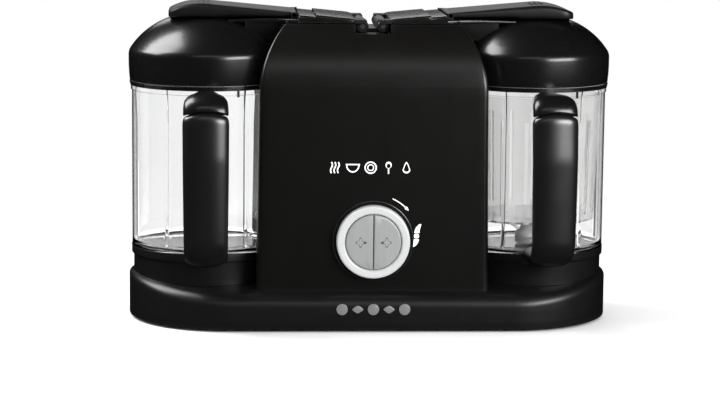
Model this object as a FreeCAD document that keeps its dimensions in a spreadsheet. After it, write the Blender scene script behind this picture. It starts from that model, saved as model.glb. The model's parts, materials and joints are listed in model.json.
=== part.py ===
"""Twin steam-and-blend baby food maker, as a parametric document in millimetres.

The machine stands on its feet with the floor at z = 0, its front faces -Y and its two bowls
stand left (-X) and right (+X) of a central tower. The origin is the middle of the footprint.
Every driving dimension is a cell of the sheet "Sizes"; each feature is bound to those cells.
"""
import FreeCAD, Part
import math
import os

import Sketcher

Vector = FreeCAD.Vector

# Driving dimensions: millimetres and degrees.
DRIVING = {
    # base
    "base_bottom_z": 2.0,
    "base_side_z": 22.0,
    "base_round": 7.0,
    "base_end_margin": 3.3,         # beyond the well, at each end
    "base_side_margin": 22.7,       # beyond the well, front and rear
    "base_wall": 4.0,
    "base_floor_thick": 6.0,        # under the wells
    "crown_inset": 6.4,
    "crown_edge_z": 29.9,
    "crown_radius": 305.0,
    "plate_thick": 2.5,
    "foot_pad_radius": 9.0,
    "foot_pad_y": 40.0,
    "centre_pad_width": 24.0,
    "centre_pad_length": 110.0,
    "screw_beyond_axis": 14.6,
    "screw_inset": 20.0,            # from the side of the base
    "screw_head_radius": 3.5,
    "screw_shank_radius": 1.75,
    "screw_length": 14.0,
    "post_radius": 4.5,
    # bowls
    "bowl_radius": 62.0,
    "bowl_wall": 3.0,
    "bowl_height": 139.5,
    "bowl_collar_height": 6.8,
    "bowl_collar_step": 0.9,
    "well_floor_z": 31.0,
    "well_gap": 0.5,                # round the foot
    "foot_inset": 1.2,              # from the glass
    "foot_lift": 0.4,               # above the well's floor
    "foot_height": 25.6,
    "left_handle_turn": 0.0,
    "right_handle_turn": 5.0,
    # handle
    "handle_room": 44.0,            # from the glass to the outside of the grip
    "handle_depth": 17.0,
    "handle_width": 36.0,
    "handle_drop": 3.5,             # of the cap below the rim
    "handle_cap_height": 16.0,
    "handle_bridge": 14.0,
    "handle_round": 12.0,
    # tower
    "tower_waist_run": 40.4,        # from the bowl's axis in to the tower's side
    "tower_front_inset": 13.0,      # from the front of the base
    "tower_rear_inset": 6.0,        # from the rear of the base
    "tower_lean": 2.5,
    "tower_roll_depth": 27.0,
    "tower_roll_height": 50.0,
    "tower_roll_radius": 80.0,
    "tower_taper_radius": 90.0,
    "tower_top_margin": 8.0,        # beyond the lever's pivot
    "tower_wall": 2.6,
    "recess_gap": 11.4,             # round the lid
    "cover_seam_y": 20.0,
    "deck_inset": 4.0,
    "deck_depth_inset": 3.5,
    "deck_thick": 11.0,
    # lid and its hinge
    "hinge_middle": 3.5,            # from the tower's middle to the side of a lug
    "hinge_drop": 2.0,              # below the top of the tower
    "hinge_radius": 5.0,
    "hinge_pin_radius": 2.0,
    "lug_half_length": 25.0,
    "knuckle_inset": 4.0,
    "lid_overhang": 2.6,            # beyond the glass
    "lid_gap": 1.1,                 # above the rim
    "lid_skirt_height": 24.4,
    "lid_dome_rise": 27.4,
    "lid_dome_run": 34.6,
    "lid_dome_radius": 46.0,
    "lid_wall": 2.6,
    "wing_gap": 0.6,                # above the tower
    "wing_dome_step": 1.8,
    "wing_plate_thick": 3.0,
    "wing_peak_thick": 2.4,
    "wing_slope": 0.093,
    "wing_end": 3.0,                # before the lever's pivot
    "wing_ledge": 4.0,              # beyond the lever's pivot
    "tongue_inset": 19.4,           # from the bowl's axis
    "tongue_lip": 3.0,
    "duct_half_width": 10.0,
    "duct_wall": 1.5,
    "duct_rise": 2.0,
    "duct_depth": 7.6,
    "steam_pipe_radius": 7.0,
    "steam_pipe_margin": 1.0,
    "liner_lift": 1.4,
    "liner_thick": 2.4,
    # lever and interlock plunger
    "lever_pivot_margin": 6.5,      # beyond the boiler's seal
    "lever_barrel_radius": 2.5,
    "lever_pin_radius": 1.5,
    "lever_inset": 13.0,
    "lever_gap": 0.5,               # above the lid
    "lever_overhang": 31.1,         # beyond the bowl's axis
    "lever_grip_run": 28.5,         # from the ribs to the tip
    "lever_tip_thick": 3.5,
    "lever_tip_radius": 60.0,
    "lever_rib_rise": 0.8,
    "ear_thick": 4.0,
    "plunger_offset": 8.0,          # before the lever's pivot
    "plunger_inset": 7.5,
    "plunger_radius": 2.5,
    "plunger_head_radius": 4.0,
    "plunger_head_height": 1.4,
    "plunger_travel": 2.2,
    # boiler and heater
    "boiler_radius": 19.0,
    "boiler_wall": 1.2,
    "boiler_height": 82.0,
    "boiler_seal_margin": 2.5,
    "boiler_seal_grip": 2.0,
    "heater_height": 11.0,
    # motor and belt drive
    "motor_radius": 20.0,
    "motor_height": 66.0,
    "motor_headroom": 26.0,         # under the heater
    "inside_gap": 0.8,              # from the motor or boiler to the tower's wall
    "rotor_radius": 12.0,
    "rotor_shaft_radius": 4.0,
    "rotor_pulley_radius": 10.0,
    "bracket_thick": 2.0,
    "drive_pulley_radius": 25.0,
    "belt_thick": 2.0,
    "belt_width": 7.0,
    "belt_low_z": 9.0,
    "belt_gap": 0.2,
    "drive_shaft_radius": 4.0,
    "drive_bearing_radius": 9.0,
    "running_gap": 0.05,
    # blades and basket
    "blade_gap": 1.5,               # above the bowl's floor
    "blade_hub_radius": 11.0,
    "blade_hub_height": 18.5,
    "blade_side_gap": 9.0,          # from the blade's tip to the glass
    "blade_width": 11.0,
    "blade_thick": 1.6,
    "blade_tilt": 12.0,
    "basket_gap": 1.4,              # from the glass
    "basket_wall": 1.6,
    "basket_lift": 4.0,             # above the blade hub
    "basket_drop": 8.5,             # below the rim
    "basket_slot": 3.2,
    # knob and controls
    "knob_z": 73.0,
    "knob_radius": 30.0,
    "knob_gap": 0.4,                # in front of the tower
    "knob_depth": 7.6,
    "knob_seat": 1.0,
    "knob_shaft_radius": 8.0,
    "bush_wall": 3.0,
    "button_radius": 22.5,
    "button_gap": 0.4,              # round the buttons
    "button_drop": 0.6,             # behind the ring's face
    "button_travel": 1.6,
    "button_split": 0.6,
    "lamp_radius": 2.6,
    "lamp_pitch": 6.6,
    "lamp_margin": 6.5,             # beyond the knob
    "lamp_rise": 4.0,               # above the knob's middle
    "badge_half_width": 30.0,
    "badge_z": 19.0,
    "badge_radius": 4.6,
    "badge_rise": 0.8,
    "inlet_z": 62.0,
    "inlet_half": 12.0,
    "board_inset": 15.0,            # behind the tower's front
    "board_half": 42.0,
    "board_thick": 1.6,
    "board_low_z": 42.0,
    "board_high_z": 118.0,
}

OVERSHOOT = 5.0     # how far a cutting tool runs past what it cuts
SMALL_GAP = 0.3     # clearance between pieces of different bodies
HALF = 0.5
SLOT_COUNT = 18     # basket slots, counted round the whole wall
BLADE_COUNT = 4
RIB_COUNT = 3       # finger ribs on each lever
RIB_PITCH = 4.0
SCREW_COLUMNS = (-1.0, 0.0, 1.0)
SIDES = {"left": -1.0, "right": 1.0}

document = FreeCAD.newDocument("BabyFoodMaker")
nodes = {}


class Size:
    """A number together with the sheet expression that works it out."""

    def __init__(self, number, text):
        self.number = number
        self.text = text

    def __add__(self, other):
        other = as_size(other)
        return Size(self.number + other.number, f"({self.text} + {other.text})")

    def __sub__(self, other):
        other = as_size(other)
        return Size(self.number - other.number, f"({self.text} - {other.text})")

    def __mul__(self, other):
        other = as_size(other)
        return Size(self.number * other.number, f"({self.text} * {other.text})")

    def __truediv__(self, other):
        other = as_size(other)
        return Size(self.number / other.number, f"({self.text} / {other.text})")

    def __neg__(self):
        return Size(-self.number, f"(0 - {self.text})")

    def root(self):
        """Return the square root."""
        return Size(math.sqrt(self.number), f"sqrt({self.text})")

    def larger(self, other):
        """Return the larger of two sizes."""
        return Size(max(self.number, other.number), f"max({self.text}; {other.text})")


def as_size(value):
    """Return value as a Size; a plain number becomes a constant expression."""
    if isinstance(value, Size):
        return value
    return Size(float(value), f"({float(value)!r})")


class Sheet:
    """The spreadsheet of driving dimensions; each alias reads back as a Size."""

    def __init__(self, driving):
        cells = document.addObject("Spreadsheet::Sheet", "Sizes")
        for row, (alias, number) in enumerate(driving.items(), start=1):
            cells.set(f"A{row}", alias)
            cells.set(f"B{row}", str(number))
            cells.setAlias(f"B{row}", alias)
        document.recompute()

    def __getattr__(self, alias):
        return Size(float(DRIVING[alias]), f"Sizes.{alias}")


size = Sheet(DRIVING)


# ---------------------------------------------------------------- sizes that follow

def follow_heights():
    """Work the heights upward from the well: foot, glass, lid, tower, wing and lever."""
    size.base_ceiling_z = size.well_floor_z - size.base_floor_thick
    size.foot_bottom_z = size.well_floor_z + size.foot_lift
    size.bowl_floor_z = size.foot_bottom_z + size.foot_height
    size.bowl_rim_z = size.bowl_floor_z + size.bowl_height
    size.bowl_collar_z = size.bowl_rim_z - size.bowl_collar_height
    size.handle_top_z = size.bowl_rim_z - size.handle_drop
    size.handle_cap_z = size.handle_top_z - size.handle_cap_height
    size.handle_low_z = size.bowl_floor_z - 2
    size.blade_hub_z = size.bowl_floor_z + size.bowl_wall + size.blade_gap
    size.blade_hub_top_z = size.blade_hub_z + size.blade_hub_height
    size.basket_low_z = size.blade_hub_top_z + size.basket_lift
    size.basket_top_z = size.bowl_rim_z - size.basket_drop
    size.lid_skirt_z = size.bowl_rim_z + size.lid_gap
    size.bowl_seal_z = size.bowl_rim_z + SMALL_GAP
    size.liner_z = size.lid_skirt_z + size.liner_lift
    size.lid_crease_z = size.lid_skirt_z + size.lid_skirt_height
    size.lid_top_z = size.lid_crease_z + size.lid_dome_rise
    size.wing_bottom_z = size.lid_top_z - size.wing_dome_step
    size.wing_plate_z = size.wing_bottom_z + size.wing_plate_thick
    size.wing_peak_z = size.wing_bottom_z + size.wing_peak_thick
    size.duct_roof_z = size.wing_bottom_z + size.duct_rise
    size.duct_bottom_z = size.wing_bottom_z - size.duct_depth
    size.tower_top_z = size.wing_bottom_z - size.wing_gap
    size.tower_shoulder_z = size.tower_top_z - size.tower_roll_height
    size.deck_bottom_z = size.tower_top_z - size.deck_thick
    size.hinge_z = size.tower_top_z - size.hinge_drop
    size.hinge_trough_z = size.hinge_z - size.hinge_radius - 0.5
    size.lever_under_z = size.wing_plate_z + size.lever_gap
    size.lever_pivot_z = size.lever_under_z + size.lever_barrel_radius
    size.lever_tip_z = size.lever_under_z + size.lever_tip_thick
    size.boiler_bottom_z = size.tower_top_z - size.boiler_height
    size.motor_top_z = size.boiler_bottom_z - size.heater_height - size.motor_headroom
    size.motor_bottom_z = size.motor_top_z - size.motor_height


def follow_widths():
    """Work the places outward from the hinge: boiler, lever pivot, recess, bowl and base."""
    size.foot_radius = size.bowl_radius - size.foot_inset
    size.well_radius = size.foot_radius + size.well_gap
    size.lid_radius = size.bowl_radius + size.lid_overhang
    size.lid_flat_radius = size.lid_radius - size.lid_dome_run
    size.recess_radius = size.lid_radius + size.recess_gap
    size.handle_reach = size.bowl_radius + size.handle_room
    size.basket_radius = size.bowl_radius - size.bowl_wall - size.basket_gap
    size.blade_reach = size.bowl_radius - size.bowl_wall - size.blade_side_gap
    size.hinge_x = size.hinge_radius + size.hinge_middle
    size.wing_nose_x = size.hinge_radius
    size.wing_inner_x = size.hinge_x + size.hinge_radius + 1
    size.hinge_trough_half = size.wing_inner_x - SMALL_GAP
    size.boiler_seal_outer = size.boiler_radius + size.boiler_seal_margin
    size.boiler_seal_inner = size.boiler_radius - size.boiler_seal_grip
    size.boiler_x = size.wing_inner_x + size.boiler_seal_outer
    size.lever_pivot_x = size.boiler_x + size.boiler_seal_outer + size.lever_pivot_margin
    size.wing_outer_x = size.lever_pivot_x - size.wing_end
    size.wing_ledge_x = size.lever_pivot_x + size.wing_ledge
    size.plunger_x = size.lever_pivot_x - size.plunger_offset
    size.tower_top_half_width = size.lever_pivot_x + size.tower_top_margin
    size.deck_half_width = size.tower_top_half_width - size.deck_inset
    widest = size.motor_radius.larger(size.boiler_radius + 1)
    size.bowl_axis_x = size.boiler_x + widest + size.inside_gap + size.tower_wall + size.recess_radius
    size.tower_half_width = size.bowl_axis_x - size.tower_waist_run
    size.tongue_end_x = size.bowl_axis_x - size.tongue_inset
    size.duct_outer_x = size.tongue_end_x - size.tongue_lip
    size.steam_pipe_x = size.duct_outer_x - size.steam_pipe_radius - size.steam_pipe_margin
    size.lever_tip_x = size.bowl_axis_x + size.lever_overhang
    size.lever_rib_x = size.lever_tip_x - size.lever_grip_run
    size.base_half_length = size.bowl_axis_x + size.well_radius + size.base_end_margin
    size.screw_x = size.bowl_axis_x + size.screw_beyond_axis


def follow_depths():
    """Work the depths inward from the base: crown, tower, wing, deck, board and knob."""
    size.base_half_depth = size.well_radius + size.base_side_margin
    size.crown_half_depth = size.base_half_depth - size.crown_inset
    size.screw_y = size.base_half_depth - size.screw_inset
    size.tower_front_y = size.base_half_depth - size.tower_front_inset
    size.tower_rear_y = size.base_half_depth - size.tower_rear_inset
    size.tower_shoulder_y = size.tower_front_y - size.tower_lean
    size.tower_top_y = size.tower_front_y - size.tower_roll_depth
    size.wing_half_depth = size.tower_top_y
    size.knuckle_end_y = size.wing_half_depth - size.knuckle_inset
    size.deck_half_depth = size.tower_top_y - size.deck_depth_inset
    size.lever_half_width = size.wing_half_depth - size.lever_inset
    size.plunger_y = size.deck_half_depth - size.plunger_inset
    size.board_y = size.tower_front_y - size.board_inset
    size.knob_back_y = size.tower_front_y + size.knob_gap
    size.knob_front_y = size.knob_back_y + size.knob_depth
    size.knob_inner_radius = size.button_radius + size.button_gap
    size.button_front_y = size.knob_front_y - size.button_drop
    size.lamp_x = size.knob_radius + size.lamp_margin
    size.lamp_z = size.knob_z + size.lamp_rise


follow_heights()
follow_widths()
follow_depths()


# ---------------------------------------------------------------- building blocks

def bind(item, field, value):
    """Bind one property of an object to a size."""
    item.setExpression(field, as_size(value).text)


def move(item, x=0.0, y=0.0, z=0.0):
    """Bind an object's place to sizes."""
    for axis, value in (("x", x), ("y", y), ("z", z)):
        bind(item, f"Placement.Base.{axis}", value)
    return item


def block(name, x, y, z):
    """Box between the two ends given for each axis."""
    item = document.addObject("Part::Box", name)
    for field, (low, high) in (("Length", x), ("Width", y), ("Height", z)):
        bind(item, field, as_size(high) - low)
    return move(item, x[0], y[0], z[0])


def rod(name, radius, across, along, axis="z"):
    """Round bar: across is its centre on the two other axes, in X, Y, Z order; along its ends."""
    item = document.addObject("Part::Cylinder", name)
    bind(item, "Radius", radius)
    bind(item, "Height", as_size(along[1]) - along[0])
    if axis == "z":
        return move(item, across[0], across[1], along[0])
    if axis == "y":
        item.Placement.Rotation = FreeCAD.Rotation(Vector(1, 0, 0), -90)
        return move(item, across[0], along[0], across[1])
    item.Placement.Rotation = FreeCAD.Rotation(Vector(0, 1, 0), 90)
    return move(item, along[0], across[0], across[1])


def fuse(name, *items):
    """Join objects into one."""
    item = document.addObject("Part::MultiFuse", name)
    item.Shapes = list(items)
    return item


def cut(name, base, *tools):
    """Cut the tools out of the base."""
    item = document.addObject("Part::Cut", name)
    item.Base = base
    item.Tool = tools[0] if len(tools) == 1 else fuse(f"{name}_tools", *tools)
    return item


def overlap(name, first, *others):
    """Keep what all the objects share."""
    result = first
    for count, other in enumerate(others, start=1):
        item = document.addObject("Part::Common", f"{name}_{count}")
        item.Base = result
        item.Tool = other
        result = item
    return result


def mirror(name, source, normal=(1, 0, 0)):
    """Mirror an object in a plane through the origin."""
    item = document.addObject("Part::Mirroring", name)
    item.Source = source
    item.Normal = Vector(*normal)
    return item


def linked(name, source):
    """Copy of a shape that can be placed by itself."""
    item = document.addObject("Part::Compound", name)
    item.Links = [source]
    return item


def node(label, item):
    """Keep an object as the sub-part that carries this label."""
    item.Label = label
    nodes[label] = item
    return item


def node_pair(label, right_item):
    """Keep an object as the right-hand sub-part and its mirror image as the left-hand one."""
    node(f"left_{label}", mirror(f"left_{label}_mirror", right_item))
    return node(f"right_{label}", right_item)


def arc_middle(start, end, radius, turn):
    """Point half-way along the arc from start to end; turn +1 runs it counter-clockwise."""
    chord = end - start
    normal = Vector(-chord.y, chord.x, 0).normalize()
    rise = math.sqrt(max(radius * radius - chord.Length ** 2 / 4, 0.0))
    side = math.copysign(1, turn)
    if abs(turn) > 1:
        rise = -rise
    centre = (start + end) * HALF + normal * rise * side
    return centre - normal * radius * side


def pin_point(sketch, curve, end, place):
    """Hold one end of a curve at a place given by two sizes."""
    for kind, axis, value in (("DistanceX", -2, place[0]), ("DistanceY", -1, place[1])):
        value = as_size(value)
        if abs(value.number) < 1e-9:
            sketch.addConstraint(Sketcher.Constraint("PointOnObject", curve, end, axis))
            continue
        rule = Sketcher.Constraint(kind, -1, 1, curve, end, value.number)
        sketch.setExpression(f"Constraints[{sketch.addConstraint(rule)}]", value.text)


def draw(sketch, outline):
    """Draw a closed outline and bind every corner and arc to its sizes.

    Each entry is (x, y) for a straight run to that corner, or (x, y, radius, turn) for an arc;
    turn is +1 counter-clockwise, -1 clockwise, and +2 or -2 for more than half a circle.
    A half circle starts and ends on one upright line, which holds its centre in place of a radius.
    """
    corners = [(as_size(entry[0]), as_size(entry[1])) for entry in outline]
    points = [Vector(x.number, y.number, 0) for x, y in corners]
    ends = []
    for count, entry in enumerate(outline):
        start, end = points[count - 1], points[count]
        if len(entry) == 2:
            ends.append((sketch.addGeometry(Part.LineSegment(start, end), False), 1, 2))
            continue
        radius, turn = as_size(entry[2]), entry[3]
        middle = arc_middle(start, end, radius.number, turn)
        if turn > 0:
            curve = sketch.addGeometry(Part.Arc(start, middle, end), False)
            ends.append((curve, 1, 2))
        else:
            curve = sketch.addGeometry(Part.Arc(end, middle, start), False)
            ends.append((curve, 2, 1))
        if math.isclose((end - start).Length, radius.number * 2):
            sketch.addConstraint(Sketcher.Constraint("Vertical", curve, 3, curve, 2))
            continue
        rule = sketch.addConstraint(Sketcher.Constraint("Radius", curve, radius.number))
        sketch.setExpression(f"Constraints[{rule}]", radius.text)
    for count, (curve, first, last) in enumerate(ends):
        after, after_first, _ = ends[(count + 1) % len(ends)]
        sketch.addConstraint(Sketcher.Constraint("Coincident", curve, last, after, after_first))
        pin_point(sketch, curve, last, corners[count])


def sketched(name, plane, outline):
    """New body with one sketch on one of its own origin planes."""
    body = document.addObject("PartDesign::Body", name)
    sketch = body.newObject("Sketcher::SketchObject", f"{name}_sketch")
    face = [item for item in body.Origin.OriginFeatures if item.Role == f"{plane}_Plane"][0]
    sketch.AttachmentSupport = [(face, "")]
    sketch.MapMode = "FlatFace"
    draw(sketch, outline)
    return body, sketch


def slab(name, plane, outline, along):
    """Pad of an outline; along holds its two ends on the axis across the plane."""
    body, sketch = sketched(name, plane, outline)
    pad = body.newObject("PartDesign::Pad", f"{name}_pad")
    pad.Profile = sketch
    bind(pad, "Length", as_size(along[1]) - along[0])
    if plane == "XY":
        return move(body, z=along[0])
    if plane == "YZ":
        return move(body, x=along[0])
    return move(body, y=along[1])


def turned(name, outline, x=0.0, y=0.0, z=0.0):
    """Outline of radius and height, revolved about an upright axis at x, y."""
    body, sketch = sketched(name, "XZ", outline)
    revolution = body.newObject("PartDesign::Revolution", f"{name}_turn")
    revolution.Profile = sketch
    revolution.ReferenceAxis = (sketch, ["V_Axis"])
    revolution.Angle = 360
    return move(body, x, y, z)


def ring(name, outer, inner, along, x=0.0, y=0.0):
    """Round ring with a square section."""
    low, high = along
    return turned(name, [(inner, low), (outer, low), (outer, high), (inner, high)], x, y)


# ---------------------------------------------------------------- base

def stadium(name, radius, along):
    """Upright solid with two straight sides and two half-round ends, centred on the origin."""
    reach = size.base_half_length - size.base_half_depth
    outline = [(reach, -radius), (reach, radius, radius, 1),
               (-reach, radius), (-reach, -radius, radius, 1)]
    return slab(name, "XY", outline, along)


def crowned(name, low):
    """Side profile of the base, with rounded edges and a gently crowned top, along its length."""
    depth, side = size.base_half_depth, size.base_side_z
    crown_y, crown_z = size.crown_half_depth, size.crown_edge_z
    outline = [
        (-depth, low), (depth, low), (depth, side),
        (crown_y, crown_z, size.base_round, 1),
        (-crown_y, crown_z, size.crown_radius, 1),
        (-depth, side, size.base_round, 1),
    ]
    return slab(name, "YZ", outline, (-size.base_half_length, size.base_half_length))


def screw_places():
    """Centres of the six base screws."""
    return [(size.screw_x * column, size.screw_y * row)
            for column in SCREW_COLUMNS for row in (-1.0, 1.0)]


def make_base_housing():
    """Crowned shell with a well for each bowl and a post for each screw."""
    low, ceiling = size.base_bottom_z, size.base_ceiling_z
    high = size.tower_shoulder_z
    outer = overlap("base_outer", stadium("base_plan", size.base_half_depth, (low, high)),
                    crowned("base_side", low))
    inner = size.base_half_depth - size.base_wall
    tools = [stadium("base_cavity", inner, (low - OVERSHOOT, ceiling))]
    for side, sign in SIDES.items():
        centre = (size.bowl_axis_x * sign, 0)
        tools.append(rod(f"{side}_well", size.well_radius, centre, (size.well_floor_z, high)))
        tools.append(rod(f"{side}_well_bore", size.drive_bearing_radius, centre,
                         (ceiling - OVERSHOOT, high)))
    reach = size.boiler_x + size.motor_radius
    tools.append(block("drive_opening", (-reach, reach), (-size.motor_radius, size.motor_radius),
                       (ceiling - OVERSHOOT, high)))
    hollow = cut("base_hollow", outer, *tools)
    posts = [rod(f"post_{count}", size.post_radius, place, (low + size.plate_thick, ceiling))
             for count, place in enumerate(screw_places())]
    bores = [rod(f"post_bore_{count}", size.screw_shank_radius + size.running_gap, place,
                 (low, low + size.screw_length + 1))
             for count, place in enumerate(screw_places())]
    node("base_housing", cut("base_housing_cut", fuse("base_with_posts", hollow, *posts), *bores))


def make_base_underside():
    """Bottom plate, its screws and the rubber pads."""
    low = size.base_bottom_z
    top = low + size.plate_thick
    radius = size.base_half_depth - size.base_wall - size.running_gap
    holes = [rod(f"plate_hole_{count}", size.screw_head_radius + size.running_gap, place,
                 (low - OVERSHOOT, top + OVERSHOOT))
             for count, place in enumerate(screw_places())]
    node("base_plate", cut("base_plate_cut", stadium("base_plate_blank", radius, (low, top)), *holes))

    screws = []
    for count, place in enumerate(screw_places()):
        screws.append(rod(f"screw_head_{count}", size.screw_head_radius, place, (low, top)))
        screws.append(rod(f"screw_shank_{count}", size.screw_shank_radius, place,
                          (top, low + size.screw_length)))
    node("base_screws", fuse("base_screws_fuse", *screws))

    corners = [(column, row) for column in (-1.0, 1.0) for row in (-1.0, 1.0)]
    pads = [rod(f"pad_{count}", size.foot_pad_radius,
                (size.screw_x * column, size.foot_pad_y * row), (0, low))
            for count, (column, row) in enumerate(corners)]
    half_width, half_length = size.centre_pad_width * HALF, size.centre_pad_length * HALF
    pads.append(block("centre_pad", (-half_width, half_width), (-half_length, half_length), (0, low)))
    node("rubber_feet", fuse("rubber_feet_fuse", *pads))


def make_badge():
    """Row of plain metal tokens on the front of the base: three discs and two bars."""
    front = (-size.base_half_depth - size.badge_rise, -size.base_half_depth)
    step = size.badge_half_width - size.badge_radius
    pieces = [rod(f"badge_disc_{count}", size.badge_radius, (step * column, size.badge_z), front, "y")
              for count, column in enumerate(SCREW_COLUMNS)]
    for count, sign in enumerate(SIDES.values()):
        middle = step * HALF * sign
        half = size.badge_radius
        pieces.append(block(f"badge_bar_{count}", (middle - half, middle + half), front,
                            (size.badge_z - half * HALF, size.badge_z + half * HALF)))
    node("front_badge", fuse("front_badge_fuse", *pieces))


# ---------------------------------------------------------------- tower

def tower_block(name, inset, low):
    """Solid tower: side profile, front profile and plan in common, waisted round both bowls."""
    front, shoulder_y = size.tower_front_y - inset, size.tower_shoulder_y - inset
    shoulder_z, top_z = size.tower_shoulder_z, size.tower_top_z - inset
    top_y, rear = size.tower_top_y - inset, size.tower_rear_y - inset
    side = slab(f"{name}_side", "YZ", [
        (-front, low), (rear, low), (shoulder_y, shoulder_z),
        (top_y, top_z, size.tower_roll_radius, 1), (-top_y, top_z),
        (-shoulder_y, shoulder_z, size.tower_roll_radius, 1),
    ], (-size.tower_half_width, size.tower_half_width))
    half, top_half = size.tower_half_width - inset, size.tower_top_half_width - inset
    face = slab(f"{name}_face", "XZ", [
        (-half, low), (half, low), (half, shoulder_z),
        (top_half, top_z, size.tower_taper_radius, 1), (-top_half, top_z),
        (-half, shoulder_z, size.tower_taper_radius, 1),
    ], (-size.tower_rear_y, size.tower_rear_y))
    waist = [rod(f"{name}_{side_name}_waist", size.recess_radius + inset,
                 (size.bowl_axis_x * sign, 0), (0, size.lid_top_z))
             for side_name, sign in SIDES.items()]
    return cut(f"{name}_waisted", overlap(f"{name}_solid", side, face), *waist)


def make_tower():
    """Front cover, rear cover and the deck between them."""
    low = size.base_ceiling_z
    wide, high = size.tower_half_width, size.lid_top_z
    seam, rear = -size.cover_seam_y, size.tower_rear_y + OVERSHOOT
    shell = cut("tower_shell", tower_block("tower", 0, low),
                tower_block("tower_core", size.tower_wall, low - OVERSHOOT), crowned("base_print", 0))
    deck_half = (-size.deck_half_width, size.deck_half_width)
    deck_deep = (-size.deck_half_depth, size.deck_half_depth)
    deck_room = block("deck_room", deck_half, deck_deep, (size.deck_bottom_z, high))
    trough = block("hinge_trough", (-size.hinge_trough_half, size.hinge_trough_half),
                   (-size.wing_half_depth - 1, size.wing_half_depth + 1), (size.hinge_trough_z, high))
    knob_hole = rod("knob_hole", size.knob_shaft_radius + size.bush_wall, (0, size.knob_z),
                    (-rear, seam), "y")
    front_room = block("front_room", (-wide, wide), (-rear, seam), (0, high))
    rear_room = block("rear_room", (-wide, wide), (seam, rear), (0, high))
    inlet_hole = block("inlet_hole", (-size.inlet_half, size.inlet_half),
                       (size.tower_shoulder_y - OVERSHOOT, rear),
                       (size.inlet_z - size.inlet_half, size.inlet_z + size.inlet_half))
    node("tower_front_cover", cut("front_cover_cut", overlap("front_cover_half", shell, front_room),
                                  deck_room, trough, knob_hole, *lamp_shapes("lamp_hole")))
    node("tower_rear_cover", cut("rear_cover_cut", overlap("rear_cover_half", shell, rear_room),
                                 deck_room, trough, inlet_hole))

    plate = overlap("deck_plate", tower_block("deck", 0, low),
                    block("deck_blank", deck_half, deck_deep, (size.deck_bottom_z, high)))
    tools = [trough]
    for side, sign in SIDES.items():
        tools.append(rod(f"{side}_boiler_hole", size.boiler_radius, (size.boiler_x * sign, 0),
                         (size.deck_bottom_z - OVERSHOOT, high)))
        tools.append(rod(f"{side}_plunger_hole", size.plunger_radius + SMALL_GAP,
                         (size.plunger_x * sign, -size.plunger_y),
                         (size.deck_bottom_z - OVERSHOOT, high)))
    lug = (-size.lug_half_length, size.lug_half_length)
    lugs = [rod(f"{side}_hinge_lug", size.hinge_radius, (size.hinge_x * sign, size.hinge_z), lug, "y")
            for side, sign in SIDES.items()]
    reach = size.hinge_x + size.hinge_radius
    web = block("hinge_web", (-reach, reach), lug,
                (size.deck_bottom_z, size.hinge_z - size.hinge_radius * HALF))
    bores = [rod(f"{side}_lug_bore", size.hinge_pin_radius, (size.hinge_x * sign, size.hinge_z),
                 (-size.knuckle_end_y, size.knuckle_end_y), "y") for side, sign in SIDES.items()]
    node("tower_deck", cut("tower_deck_cut", fuse("deck_with_lugs", cut("deck_open", plate, *tools),
                                                  web, *lugs), *bores))
    pins = [rod(f"{side}_hinge_pin", size.hinge_pin_radius, (size.hinge_x * sign, size.hinge_z),
                (-size.knuckle_end_y, size.knuckle_end_y), "y") for side, sign in SIDES.items()]
    node("lid_pins", fuse("lid_pins_fuse", *pins))


def lamp_shapes(name):
    """Three short round lenses, one above another, that together show a rising wisp."""
    places = [(0.0, 1.0), (-HALF, 0.0), (-1.0, -1.0)]
    deep = (-size.tower_front_y - size.badge_rise * HALF, -size.tower_front_y + size.tower_wall * 2)
    return [rod(f"{name}_{count}", size.lamp_radius,
                (size.lamp_x + size.lamp_radius * across, size.lamp_z + size.lamp_pitch * up), deep, "y")
            for count, (across, up) in enumerate(places)]


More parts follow.
